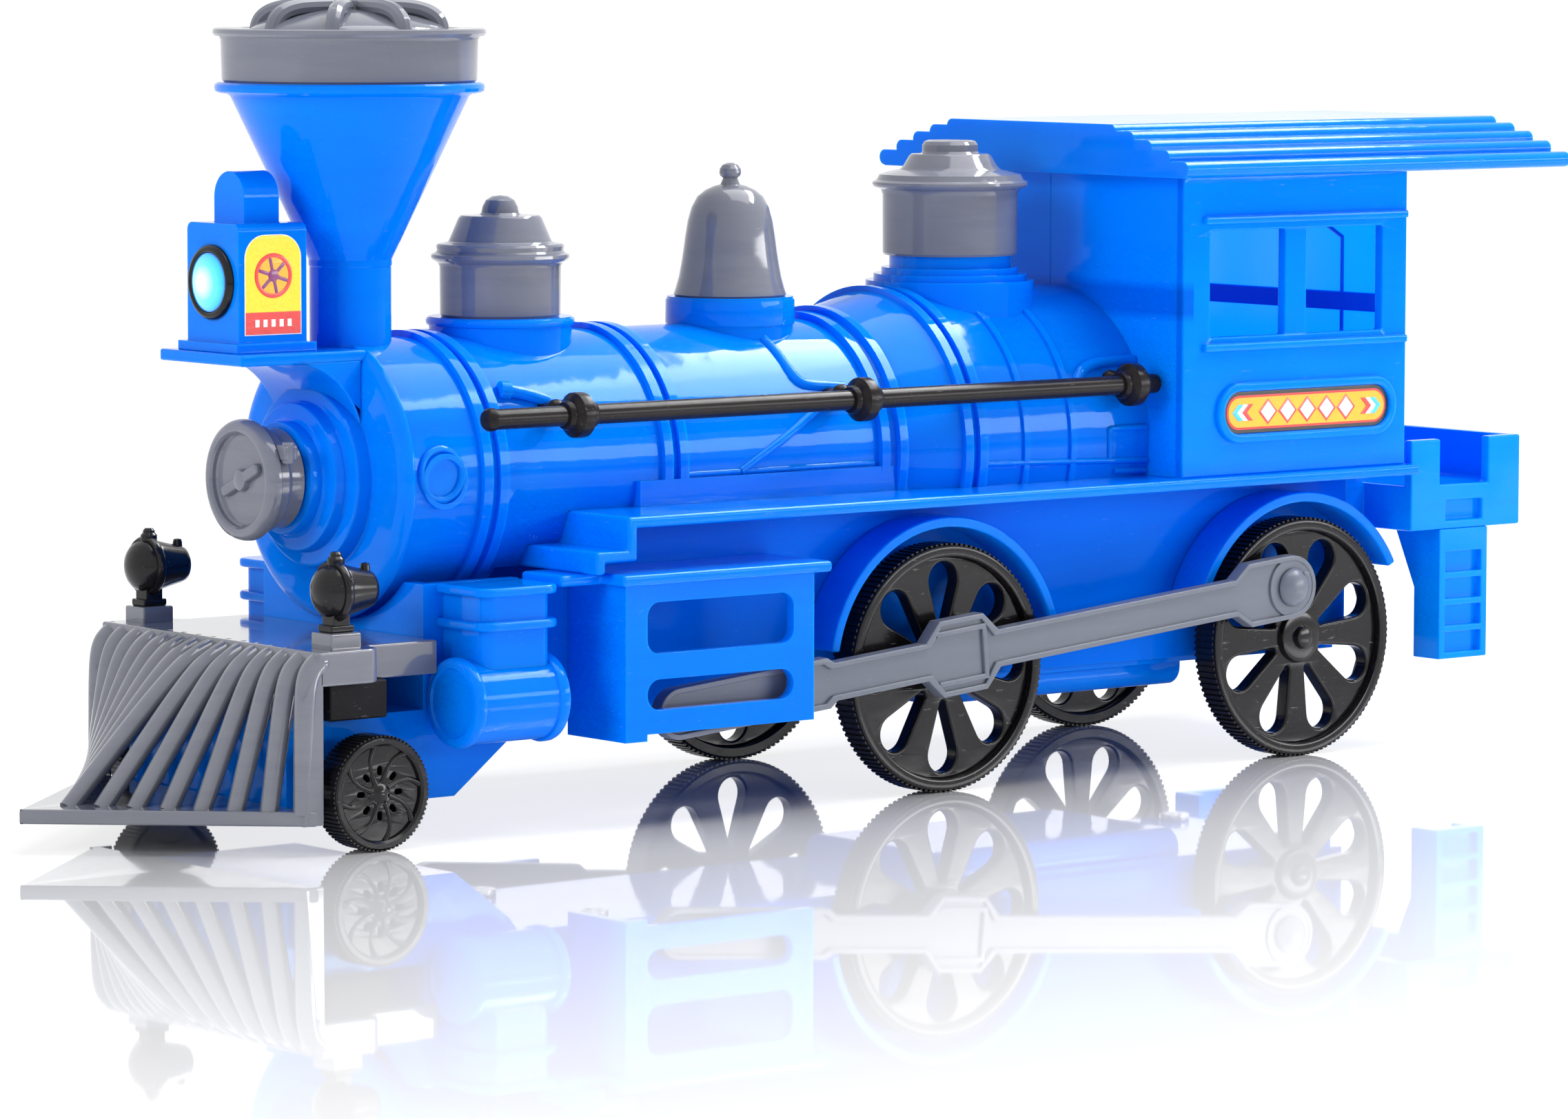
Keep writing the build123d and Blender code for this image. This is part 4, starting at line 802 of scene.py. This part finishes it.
# (places as distance along and degrees from the top), radius, lift
mouldings = {
    "bell_pipe": (((7.6, 24), (7.4, 34), (7.2, 50), (6.4, 55.5), (4.6, 57), (1.0, 57.9), (-0.6, 58.6)),
                  0.75, 0.05),
    "feed_pipe": (((3.4, 66), (6.3, 71), (10, 78), (14, 85), (19, 93.6)), 0.6, 0.0),
    "barrel_line": (((28, 93.4), (15, 93.5), (0, 93.4), (-4, 93.4)), 0.4, 0.0),
    "firebox_line": (((-21.5, 95.2), (-30, 95.6), (-40, 96.4), (-50.8, 97.4)), 0.45, 0.0),
    "firebox_step": (((-50.6, 84.6), (-46, 84.6), (-43.9, 84.6), (-43.9, 86), (-43.9, 91), (-44.0, 96.0)),
                     0.45, 0.0),
    "corner_pipe": (((-39.2, 66), (-40.5, 61.5), (-43.1, 58.8), (-46, 58.3), (-50.8, 58.2)), 0.8, 0.05),
    "rear_line": (((-50.8, 101.5), (-47.5, 101.3), (-45.0, 101.0)), 0.45, 0.0)}
shapes = [tube([onBoiler(x, deg, lift) for x, deg in places], radius, 6, 3)
          for places, radius, lift in mouldings.values()]
# short valve rod that ends in a cup near the first knob
valveRod = [onBoiler(49.6, 58.6, 0.6), onBoiler(52.6, 55, 0.8), onBoiler(55.6, 52.8, 0.7)]
shapes.append(tube(valveRod, 0.8, 4, 4))
shapes.append(tube([onBoiler(55.2, 53, 0.7), onBoiler(56.6, 52.2, 0.6)], 1.15, 1, 4, straight=True))
# raised washout ring behind the smokebox
washLook = {"x": 68.3, "degrees": 87.0, "radius": 3.4}
ringPath = []
for k in range(12):
    along, around = washLook["radius"] * cos(k * pi / 6), washLook["radius"] * sin(k * pi / 6)
    ringPath.append(onBoiler(washLook["x"] + along,
                             washLook["degrees"] + around / boilerLook["barrel"] * 180 / pi, 0.05))
shapes.append(tube(ringPath, 0.5, 3, 3, cyclic=True))
bothSides("boiler_mouldings", joined(*shapes), blue)

# rounded rings that the sand dome and the bell stand on
seatProfiles = {
    "sand_dome": ((9.2, -1.25), (9.75, -1.1), (9.9, -0.8), (9.9, -0.4), (9.7, -0.1), (7.4, -0.02),
                  (7.4, -1.25)),
    "bell": ((8.4, -4.2), (8.85, -3.6), (8.8, -0.5), (8.5, -0.08), (7.2, -0.02), (7.2, -4.2))}
shapes = []
for nodeName, profile in seatProfiles.items():
    low, high = corners(nodeName)
    shapes.append(lathe(profile, "Z", ((low.x + high.x) / 2, 0, low.z), closed=True))
makePiece("dome_seats", joined(*shapes), blue)
print("boiler mouldings laid")

# steam cylinders with their valve chests
castLook = {"y": 23.9, "z": 17.9, "radius": 5.5, "ring": 5.9, "chestRear": 57.6, "chestFront": 68.4,
            "chestOut": 27.3, "lip": 1.0, "lipHigh": 1.2, "lipTops": (32.8, 28.4), "corner": 1.7}


def steamCylinder():
    look = castLook
    low, high = corners("cylinder_left")
    r, ring, rear, front = look["radius"], look["ring"], low.x, high.x
    profile = ([(0, rear)] + near(ring, rear, (-0.35, 0), (-0.1, 0.12), (0, 0.4), (0, 1.2), (-0.12, 1.5))
               + [(r, rear + 1.65), (r, front - 1.6)]
               + near(ring, front, (-0.1, -1.5), (0, -1.2), (-0.05, -0.6), (-0.3, -0.2), (-0.75, 0),
                      (-1.3, 0), (-1.55, -0.3)) + [(0, front - 0.35)])
    shapes = [lathe(profile, "X", (0, look["y"], look["z"]))]
    x0, x1, y, lip, corner = pick(look, "chestRear chestFront chestOut lip corner")
    shapes.append(cutout([archLoop(x0, x1, low.y, y, corner)], "top", look["z"], high.z - 0.4, 0.2))
    outline = archLoop(x0 - lip, x1 + lip, low.y, y + lip, corner + lip * 0.6)
    for top in look["lipTops"]:
        shapes.append(cutout([outline], "top", top - look["lipHigh"], top, 0.4, 3))
    return joined(*shapes)


bothSides("cylinder_cast", steamCylinder(), blue, node="cylinder")

knobProfile = ((1.3, -2.35), (1.75, -2.3), (1.95, -1.9), (1.95, -1.45), (2.45, -1.25), (2.95, -0.8),
               (3.0, -0.2), (3.0, 0.2), (2.95, 0.8), (2.45, 1.25), (1.95, 1.45), (1.95, 1.9), (1.75, 2.3),
               (1.3, 2.35))
knobPlaces = (50.1, 2.1, -46.3)


def handrail():
    low, high = corners("handrail_left")
    y, z = high.y - max(r for r, _ in knobProfile), middle("handrail_left").z
    rail = lathe(near(0, low.x, (0, 0), (1.0, 0), (1.3, 0.25), (1.35, 0.6))
                 + near(0, high.x, (1.35, -1.5), (1.5, -1.35), (1.5, -0.5), (1.2, -0.1), (0.8, 0), (0, 0)),
                 "X", (0, y, z), 40)
    shapes = [rail]
    for x in knobPlaces:
        shapes.append(lathe(knobProfile, "X", (x, y, z), 48))
        foot = onBoiler(x, 60, -0.6)
        shapes.append(tube([(x, y, z), (x, foot[1], z)], 1.2, 1, 4, straight=True))
        # cast ear where the stalk meets the knob
        shapes.append(ball(1.15, (x + 1.9, y - 2.2, z + 1.0), (1.2, 1, 0.9), 10))
    return joined(*shapes)


bothSides("handrail_knobbed", handrail(), railBlack, node="handrail")


def markerLamp():
    low, high = corners("marker_lamp_left")
    foot = corners("pilot")[1].z
    x0, x1, y, z = low.x, high.x, (low.y + high.y) / 2, foot + 5.2
    ring = x1 - 2.1
    head = (near(0, x1, (0, 0), (0.9, -0.06), (1.8, -0.3), (2.6, -0.75), (3.15, -1.3))
            + near(0, ring, (3.4, 0), (3.75, 0.1), (4.0, -0.3), (4.0, -0.8), (3.75, -1.15), (3.45, -1.2),
                   (3.4, -1.7), (3.0, -3.2))
            + near(0, x0, (2.5, 0.9), (2.3, 0.3), (1.9, 0), (0, 0)))
    finial = near(0, z, (1.1, 3.0), (1.1, 4.1), (0.8, 4.4), (0.78, 4.7), (0.5, 5.0), (0, 5.0))
    knob = near(0, z, (0.7, 1.6), (0.62, 2.9), (0.5, 3.3), (0, 3.4))
    post = ring - 0.9
    shapes = [lathe(head, "X", (0, y, z), 56),
              block((post - 1.3, y - 1.3, foot), (post + 1.3, y + 1.3, z), 0.2),
              block((post - 1.8, y - 1.5, foot), (post + 1.8, y + 1.5, foot + 0.9), 0.2),
              lathe(finial, "Z", (post, y, 0), 24), lathe(knob, "Z", (x0 + 0.9, y, 0), 20),
              ball(0.5, (ring - 0.6, y + 3.8, z + 1.4), (1, 0.5, 1), 8)]
    return joined(*shapes)


bothSides("marker_lamp_turned", markerLamp(), black, node="marker_lamp")
print("rails and lamps done")

pilotLook = {"bars": 15, "bar": 1.25, "bend": 2.0, "decay": 6.152e-6, "beamFront": 92.7, "beamStep": 82.6,
             "beamTop": 25.9, "beamThick": 4.4, "round": 2.2, "half": 24.8, "rearHalf": 20.9,
             "noseFoot": 114.3, "sideFoot": 94.4, "plateTop": 5.8, "plateThick": 1.9, "plateHalf": 25.6,
             "plateRear": 93.4, "strip": 1.0, "stripFoot": 94.9, "pad": (2.4, 2.2), "padAt": 87.5}


def beamLoop(look, rear):
    # the beam from above: wide part in front with round rear corners, then a narrower part
    x1, step, wide, narrow, r = pick(look, "beamFront beamStep half rearHalf round")
    k = r * cornerGap
    right = [((x1, wide - 0.5), (x1, wide - 0.5), (x1, wide - 0.1)),
             ((x1 - 0.5, wide), (x1 - 0.1, wide), (x1 - 0.5, wide)),
             ((step + r, wide), (step + r, wide), (step + k, wide)),
             ((step, wide - r), (step, wide - k), (step, wide - r)),
             ((step, narrow + 0.9), (step, narrow + 0.9), (step, narrow + 0.3)),
             ((step - 0.9, narrow), (step - 0.3, narrow), (step - 0.9, narrow)), ((rear, narrow),) * 3]
    left = [tuple((p[0], -p[1]) for p in (at, after, before)) for at, before, after in reversed(right)]
    return right + left


def pilotPiece():
    look = pilotLook
    low, high = corners("pilot")
    nose, top = high.x, look["beamTop"]
    bar, half, beamFront, strip = pick(look, "bar half beamFront strip")
    plateHalf, plateTop, rear = pick(look, "plateHalf plateTop plateRear")
    foot = plateTop - look["plateThick"]
    plate = flatLoop((rear, -plateHalf), (nose - 0.3, -0.35), (nose, 0), (nose - 0.3, 0.35),
                     (rear, plateHalf))
    shapes = [cutout([beamLoop(look, low.x)], "top", top - look["beamThick"], top, 0.3),
              cutout([plate], "top", foot, plateTop, 0.35)]
    # bars bow forward just under the beam and thin out towards the foot
    thickness = {0: 1.18, 0.05: 1.2, 0.12: 1.2, 0.22: 1.17, 0.38: 1.13, 0.55: 1.08, 0.75: 1.02, 0.9: 0.98,
                 1: 0.96}
    topX, topZ, footZ = beamFront - 0.9, top - bar - 0.15, plateTop - 0.5
    last = look["bars"] // 2
    for k in range(-last, last + 1):
        y = k * (half - bar) / last
        footX = look["noseFoot"] + abs(k) / last * (look["sideFoot"] - look["noseFoot"])
        path = []
        for part in thickness:
            along = look["bend"] * (1 - look["decay"] ** part) * (1 - part)
            path.append((topX + along + part * (footX - topX), y, topZ + part ** 1.1 * (footZ - topZ)))
        shapes.append(tube(path, bar, 4, 5, radii=tuple(thickness.values())))
        shapes.append(ball(bar * thickness[0], path[0], rings=14))
    (padX, padY), at, x0 = look["pad"], look["padAt"], beamFront - 0.8
    web = flatLoop((x0, foot), (look["stripFoot"], foot), (x0 + 1.4, top - 5), (x0 + 0.9, top - 0.9),
                   (x0, top - 0.9))
    for side in (-1, 1):
        edge, y = side * (half - strip / 2), side * middle("marker_lamp_left").y
        shapes.append(cutout([web], "side", edge - strip / 2, edge + strip / 2, 0.2))
        shapes.append(block((at - padX, y - padY, top - 0.2), (at + padX, y + padY, high.z), 0.3))
    return joined(*shapes)


makePiece("pilot_barred", pilotPiece(), pilotGrey, replaces=("pilot",), smooth=34)

# smokebox front: stepped rings, lamp shelf and the hollow bracket under it
frontLook = {"face": 75.3, "sunk": 0.4, "steps": ((11.8, 77.4), (9.7, 79.4), (7.4, 81.6)), "round": 0.45,
             "roll": 2.2, "rollDeep": 1.4, "shelfHalf": 9.35, "shelfTop": 62.7, "shelfThick": 1.5,
             "reach": 10.5}


def smokeboxFront():
    look = frontLook
    low, high = corners("smokebox_front")
    radius, face, r, well = high.y, look["face"], look["round"], look["face"] - look["sunk"]
    half, top, first = look["shelfHalf"], look["shelfTop"], look["steps"][0][0]
    profile = [(0, low.x), (radius - r, low.x), (radius, low.x + r)]
    for step in range(9):
        a = step * pi / 16
        profile.append((radius - look["roll"] * (1 - cos(a)), well - look["rollDeep"] * (1 - sin(a))))
    profile += [(first + 0.5, well), (first + 0.12, face - 0.25)]
    for ring, front in look["steps"]:
        back = profile[-1][1] + 0.3
        profile += [(ring, back), (ring, front - r), (ring - r * 0.3, front - r * 0.3), (ring - r, front),
                    (ring - 1.5, front), (ring - 1.9, front + 0.1)]
    profile = profile[:-2] + [(0, look["steps"][-1][1])]
    rings = lathe(profile, "X", (0, 0, boilerMid), 128)
    for vert in rings.verts:
        vert.co.z = min(vert.co.z, top - 0.1)
    under = top - look["shelfThick"]
    shelf = block((face - 1.2, -half, under), (high.x, half, top), 0.3, 3)
    reach, bend = look["reach"], look["reach"] * quarter
    inner, foot, far = (well, under + 0.2), (well, under - reach), (well + 0.4 + reach, under + 0.2)
    bracket = [(inner,) * 3, (foot, foot, (well + 0.2, under - reach + bend)),
               (far, (far[0] - bend, under), far)]
    return joined(rings, shelf, cutout([bracket], "side", -half, half, 0.25, 2, 16))


makePiece("smokebox_front_stepped", smokeboxFront(), blue, replaces=("smokebox_front",), smooth=34)

# smokebox door with a plain locking bar
doorLook = {"plug": 4.5, "back": 6.6, "seat": 82.0, "face": 84.3, "thick": 3.8, "rim": 1.85, "sink": 1.15,
            "bar": (4.5, 0.75), "lean": 25.0}


def smokeboxDoor():
    look = doorLook
    low, high = corners("smokebox_door")
    z, radius, face, back, plug = boilerMid, (high.y - low.y) / 2, look["face"], look["back"], look["plug"]
    front = face + look["thick"]
    floor, rim = front - look["sink"], radius - look["rim"]
    profile = ([(0, floor), (rim - 0.25, floor), (rim, floor + 0.25)]
               + near(rim, front, (0.05, -0.4), (0.3, -0.08), (0.6, 0))
               + near(radius, front, (-0.8, -0.05), (-0.35, -0.3), (-0.08, -0.75), (0, -1.2), (0, -1.7),
                      (-0.25, -1.95), (-0.8, -2.05))
               + near(radius, face, (-0.85, 0.35), (-1.1, 0)) + near(back, face, (0, 0), (-0.2, -0.6))
               + [(back, look["seat"]), (plug, look["seat"] - 0.3), (plug, low.x), (0, low.x)])
    disc = lathe(profile, "X", (0, 0, z))
    long, half = look["bar"]
    barLoop = turnLoop(roundLoop(-long, long, -half, half, half * 0.9), radians(look["lean"]), 0, z)
    bar = cutout([barLoop], "front", floor - 0.2, front - 0.25, 0.35, 3, 6)
    boss = lathe(near(0, front, (0, -0.1), (0.9, -0.14), (1.3, -0.35), (1.45, -0.7))
                 + [(1.5, floor - 0.1), (0, floor - 0.1)], "X", (0, 0, z), 40)
    hinge = block((face - 0.2, radius - 2.3, z + 2.9), (face + 1.9, radius + 0.3, z + 4.9), 0.3)
    knuckle = lathe(near(0, z, (0, 2.5), (0.75, 2.55), (0.85, 2.8), (0.85, 5.0), (0.75, 5.25), (0, 5.3)), "Z",
                    (face + 0.9, radius - 0.4, 0), 24)
    return joined(disc, bar, boss, hinge, knuckle)


makePiece("smokebox_door_barred", smokeboxDoor(), grey, replaces=("smokebox_door",), smooth=32)
print("pilot and door built")

lampLook = {"radius": 3.8, "rim": 4.85}


def headlampBezel():
    low, high = corners("headlamp_bezel")
    z, x0, x1 = middle("headlamp_bezel").z, low.x, high.x
    inner, rim = lampLook["radius"] + 0.02, lampLook["rim"]
    return lathe([(inner, x0)] + near(inner, x1, (0, -0.35), (0.12, -0.1), (0.35, 0))
                 + near(rim, x1, (-0.3, -0.12), (-0.02, -0.45)) + [(rim, x0)], "X", (0, 0, z), closed=True)


def headlampLens():
    low, high = corners("headlamp_lens")
    radius, edge = lampLook["radius"], low.x + 0.7
    swell = [(radius * share, edge + (high.x - edge) * (1 - share ** 2))
             for share in (1, 0.9, 0.78, 0.64, 0.48, 0.32, 0.16)]
    return lathe([(0, low.x), (radius, low.x)] + swell + [(0, high.x)], "X",
                 (0, 0, middle("headlamp_lens").z))


makePiece("headlamp_bezel_turned", headlampBezel(), black, replaces=("headlamp_bezel",), smooth=50)
lensGlow = glowingLens(middle("headlamp_lens"), lampLook["radius"])
makePiece("headlamp_lens_domed", headlampLens(), lensGlow, replaces=("headlamp_lens",))

# the label: a yellow arch, a red foot with plain bars, a red tire with an orange disc and violet spokes
lampLabel = {"node": "headlamp_label", "steps": 4, "soft": 0.03, "foot": 0.23, "wheel": 2.9, "tire": 0.55,
             "bars": 5, "barWide": 0.62, "barHigh": 0.95, "barStep": 1.25, "inset": 0.12, "round": 0.7}


def boxLoop(x, z, wide, tall):
    return flatLoop((x + wide, z - tall), (x + wide, z + tall), (x - wide, z + tall), (x - wide, z - tall))


def inkShape(look, loops, bottom, top):
    # bottom and top count in steps of the sticker's thickness
    low, high = corners(look["node"] + "_left")
    step = (high.y - low.y) / look["steps"]
    return cutout(loops, "side", low.y + bottom * step, low.y + top * step, look["soft"], 1)


def inkLayer(look, name, ink, loopSets, bottom, top):
    shapes = [inkShape(look, loops, bottom, top) for loops in loopSets]
    bothSides(name, joined(*shapes), films[ink], node=None if bottom else look["node"])


def lampSticker():
    look = lampLabel
    low, high = corners("headlamp_label_left")
    inset = look["inset"]
    x0, x1, z0, z1 = low.x + inset, high.x - inset, low.z + inset, high.z - inset
    radius = (high.x - low.x) / 2 * look["round"]
    split = low.z + (high.z - low.z) * look["foot"]
    cx, cz = (low.x + high.x) / 2, split + (high.z - split) * 0.47
    wheel, tire = look["wheel"], look["tire"]
    inkLayer(look, "lamp_label_base", "White", [[archLoop(low.x, high.x, low.z, high.z, radius)]], 0, 1)
    inkLayer(look, "lamp_label_arch", "Yellow", [[archLoop(x0, x1, split, z1, radius - inset)]], 0.5, 2)
    foot = boxLoop((x0 + x1) / 2, (z0 + split) / 2, (x1 - x0) / 2, (split - z0) / 2)
    inkLayer(look, "lamp_label_foot", "Red", [[foot]], 0.5, 2)
    outerEdge, innerEdge = ringLoop(cx, cz, wheel), ringLoop(cx, cz, wheel - tire)
    inkLayer(look, "lamp_label_tire", "Red", [[outerEdge, innerEdge]], 1, 3)
    inkLayer(look, "lamp_label_disc", "Orange", [[innerEdge]], 1, 2.6)
    spoke = roundLoop(0.3, wheel - tire, -0.24, 0.24, 0.2)
    spokes = [(turnLoop(spoke, k * pi / 3 + 0.3, cx, cz), 3.2) for k in range(6)]
    spokes.append((ringLoop(cx, cz, 0.8), 3.6))
    bothSides("lamp_label_spokes", joined(*(inkShape(look, [loop], 1, top) for loop, top in spokes)),
              films["Violet"])
    bars = [[boxLoop(cx + (k - (look["bars"] - 1) / 2) * look["barStep"], (z0 + split) / 2,
                     look["barWide"] / 2, look["barHigh"] / 2)] for k in range(look["bars"])]
    inkLayer(look, "lamp_label_bars", "White", bars, 1, 3)


lampSticker()

# cab sign: orange strip, red edge, chevrons at both ends and plain lozenges
signLook = {"node": "sign_plate", "steps": 5, "soft": 0.04, "red": 0.5, "orange": 0.82, "gems": 5,
            "gemWide": 2.9, "gemHigh": 3.0, "gemStep": 3.75, "chevronAt": 14.3, "chevron": 1.15,
            "chevronWide": 0.95}


def signPlate():
    look = signLook
    low, high = corners("sign_plate_left")
    cx, cz = (low.x + high.x) / 2, (low.z + high.z) / 2

    def strip(inset):
        return [roundLoop(low.x + inset, high.x - inset, low.z + inset, high.z - inset,
                          ((high.z - low.z) / 2 - inset) * 0.98)]

    def lozenge(k, grow):
        x = cx + (k - (look["gems"] - 1) / 2) * look["gemStep"]
        wide, tall = look["gemWide"] / 2 + grow, look["gemHigh"] / 2 + grow
        return [flatLoop((x + wide, cz), (x, cz + tall), (x - wide, cz), (x, cz - tall))]

    inkLayer(look, "sign_base", "Black", [strip(0)], 0, 2)
    inkLayer(look, "sign_edge", "Red", [strip(look["red"])], 1, 2.5)
    inkLayer(look, "sign_field", "Orange", [strip(look["orange"])], 1, 3)
    inkLayer(look, "sign_gem_shades", "Red", [lozenge(k, 0.36) for k in range(look["gems"])], 2, 3.5)
    inkLayer(look, "sign_gems", "White", [lozenge(k, -0.08) for k in range(look["gems"])], 2, 4)
    tall, wide = look["chevron"], look["chevronWide"] * 0.95
    for k, ink in enumerate(("Cyan", "White", "Red")):
        found = []
        for side in (1, -1):
            tip = cx + side * (look["chevronAt"] - k * look["chevronWide"])
            far, back = tip - side * tall, tip - side * (tall + wide)
            found.append([flatLoop((tip, cz), (far, cz + tall), (back, cz + tall), (tip - side * wide, cz),
                                   (back, cz - tall), (far, cz - tall))])
        inkLayer(look, f"sign_chevrons_{ink.lower()}", ink, found, 2, 3.8)


signPlate()
print("labels laid")

# cab walls: windows, ledges and a sign rim at the side, front and rear stepped under the roof
cabWalls = {"half": 28.0, "wall": 1.6, "eaves": 82.8, "windows": ((-70.4, -56.2), (-89.2, -74.5)),
            "windowZ": (60.4, 75.2), "steps": ((26.0, 84.3), (22.3, 85.6), (18.6, 86.7), (14.8, 87.6)),
            "ledges": (59.0, 76.7), "ledge": 0.55, "ledgeEnds": (0.4, 3.6), "rim": 1.2,
            "rimAt": (-91.6, -57.4, 45.5, 53.9)}


def cabHalf():
    look = cabWalls
    low, high = corners("cab_left")
    x0, x1, half, w = low.x, high.x, look["half"], look["wall"]
    openings = [roundLoop(a, b, *look["windowZ"], 0.35) for a, b in look["windows"]]
    shapes = [cutout([flatLoop((x1, low.z), (x1, look["eaves"]), (x0, look["eaves"]),
                               (x0, low.z))] + openings, "side", half - w, half, 0.22)]
    gable = [(0, low.z), (half - 0.3, low.z), (half - 0.3, look["eaves"])]
    z = look["eaves"]
    for y, rise in look["steps"]:
        gable += [(y, z), (y, rise)]
        z = rise
    gable.append((0, z))
    for x in (x0, x1 - w):
        shapes.append(cutout([flatLoop(*gable)], "front", x, x + w, 0.14))
    rear, front = look["ledgeEnds"]
    for z in look["ledges"]:
        shapes.append(block((x0 + rear, half - 0.3, z - look["ledge"]),
                            (x1 - front, high.y, z + look["ledge"]), 0.25))
    a, b, bottom, top = look["rimAt"]
    rim = look["rim"]
    shapes.append(cutout([roundLoop(a, b, bottom, top, (top - bottom) * 0.49),
                          roundLoop(a + rim, b - rim, bottom + rim, top - rim, (top - bottom) * 0.49 - rim)],
                         "side", half - 0.2, high.y, 0.3))
    return joined(*shapes)


bothSides("cab_walls", cabHalf(), cabLitBlue, node="cab")

# inside of the cab: the thin rear wall with light coming through it, its door and a cross rail
cabLook = {"skin": 0.3, "skinTop": 77.5, "door": (-17.0, 16.8), "doorTop": 76.0, "shoulder": 73.0,
           "line": 0.35, "rail": (62.6, 65.2), "railDeep": 1.6}


def cabRear():
    look = cabLook
    low, high = corners("cab_left")
    x = low.x + cabWalls["wall"]
    half = high.y - cabWalls["wall"] - 1.2
    floor = corners("running_board")[1].z
    makePiece("cab_rear_skin", block((x, -half, floor), (x + look["skin"], half, look["skinTop"]), 0.05),
              backlit)
    a, b = look["door"]
    top, side, front = look["doorTop"], look["shoulder"], x + look["skin"]
    arch = tube([(front, a, floor), (front, a, side - 2), (front, a + 8, top - 1), (front, a + 15, top),
                 (front, b - 6, top), (front, b, side), (front, b, floor)], look["line"], 1, 3, straight=True)
    makePiece("cab_rear_door_line", arch, blue)
    rail = block((x, -half, look["rail"][0]), (x + look["railDeep"], half, look["rail"][1]), 0.3)
    makePiece("cab_rear_rail", rail, railShadedBlue)


cabRear()

softCopy("ballast", steel, 0.3)
axles = {"drive_axle_front": "front_wheelset", "drive_axle_rear": "rear_wheelset",
         "lead_axle": "lead_wheelset"}
for nodeName, body in axles.items():
    x, z, radius, rear, front = wheelPlace(nodeName)
    shaft = lathe([(0, rear)] + near(radius, rear, (-0.2, 0), (0, 0.2))
            + near(radius, front, (0, -0.2), (-0.2, 0)) + [(0, front)], "Y", (x, 0, z), 40)
    makePiece(nodeName + "_turned", shaft, steel, body, (nodeName,))
softCopy("base_screws", steel, 0.12)
print("inside done")

# studio
slotMaterials = {"blue": blue, "grey": grey, "grey_rod": rodGrey, "black": black, "label": films["Orange"],
                 "lens": lensGlow, "steel": steel}
for entry in frame["record"]["subparts"]:
    solid = frame["nodes"][entry["node"]]
    solid.data.materials.clear()
    solid.data.materials.append(slotMaterials[entry["material_slot"]])

studio = {"cameraAt": (0.5828, 0.7234, 0.1178), "back": (0.6258, 0.7745, 0.0923),
          "right": (-0.7778, 0.6285, 0.0), "roll": 0.12, "lens": 156.0, "shift": (0.0039, -0.0051),
          "sky": 0.24, "seenSky": 1.1, "fade": (0.03, 0.25, 0.95, 0.0),
          "panels": (("topPanel", (-0.2, 0.08, 0.74), (0.7, 0.6), 4.9),
                     ("highStrip", (-0.55, 0.07, 0.68), (0.7, 0.16), 6.5),
                     ("lowStrip", (-0.37, 0.45, 0.14), (0.42, 0.09), 1.3),
                     ("noseFill", (0.7, 0.1, 0.3), (0.3, 0.4), 3.2))}

camera = bpy.data.objects.new("camera", bpy.data.cameras.new("camera"))
bpy.context.scene.collection.objects.link(camera)
back, right = Vector(studio["back"]).normalized(), Vector(studio["right"]).normalized()
upward = back.cross(right)
turned = Matrix((right, upward, back)).transposed().to_4x4()
camera.matrix_world = (Matrix.Translation(studio["cameraAt"]) @ turned
                       @ Matrix.Rotation(radians(studio["roll"]), 4, "Z"))
camera.data.sensor_width = 36.0
camera.data.lens = studio["lens"]
camera.data.shift_x, camera.data.shift_y = studio["shift"]
camera.data.clip_start = 0.01
bpy.context.scene.camera = camera
bpy.context.scene.view_settings.view_transform = "Standard"

aim = Vector((0, 0, 0.04))
for name, place, size, power in studio["panels"]:
    lamp = bpy.data.lights.new(name, "AREA")
    lamp.shape = "RECTANGLE"
    lamp.size, lamp.size_y = size
    lamp.energy = power
    holder = bpy.data.objects.new(name, lamp)
    holder.location = place
    holder.rotation_euler = (aim - Vector(place)).to_track_quat("-Z", "Y").to_euler()
    holder.visible_glossy = name != "noseFill"
    bpy.context.scene.collection.objects.link(holder)

world = bpy.data.worlds.new("studioAir")
world.use_nodes = True
bpy.context.scene.world = world
tree = world.node_tree
plainSky, seenSky = tree.nodes["Background"], addNode(tree, "ShaderNodeBackground")
setInputs(plainSky, {"Color": (1, 1, 1, 1), "Strength": studio["sky"]})
setInputs(seenSky, {"Color": (1, 1, 1, 1), "Strength": studio["seenSky"]})
# the backdrop is brighter to the eye and in reflections than as a light
rays = addNode(tree, "ShaderNodeLightPath").outputs
seen = addMath(tree, "MAXIMUM", rays["Is Camera Ray"], rays["Is Glossy Ray"], rays["Is Transmission Ray"])
blend = addNode(tree, "ShaderNodeMixShader")
tree.links.new(seen, blend.inputs[0])
tree.links.new(plainSky.outputs[0], blend.inputs[1])
tree.links.new(seenSky.outputs[0], blend.inputs[2])
tree.links.new(blend.outputs[0], tree.nodes["World Output"].inputs["Surface"])

bm = bmesh.new()
bmesh.ops.create_grid(bm, x_segments=1, y_segments=1, size=6)
mesh = bpy.data.meshes.new("floor")
bm.to_mesh(mesh)
bm.free()
floor = bpy.data.objects.new("floor", mesh)
bpy.context.scene.collection.objects.link(floor)
glossFloor, tree, shader = newMaterial("glossFloor")
setInputs(shader, {"Base Color": (0.97, 0.97, 0.98, 1), "Roughness": 0.02, "IOR": 1.5, "Coat IOR": 1.5})
# the mirror gloss fades out on the near side
fade = addRange(tree, splitAxes(tree, objectCoords(tree))["Y"], *studio["fade"])
tree.links.new(fade, shader.inputs["Coat Weight"])
tree.links.new(addMath(tree, "MULTIPLY", fade, 0.5), shader.inputs["Specular IOR Level"])
mesh.materials.append(glossFloor)
print("studio set")
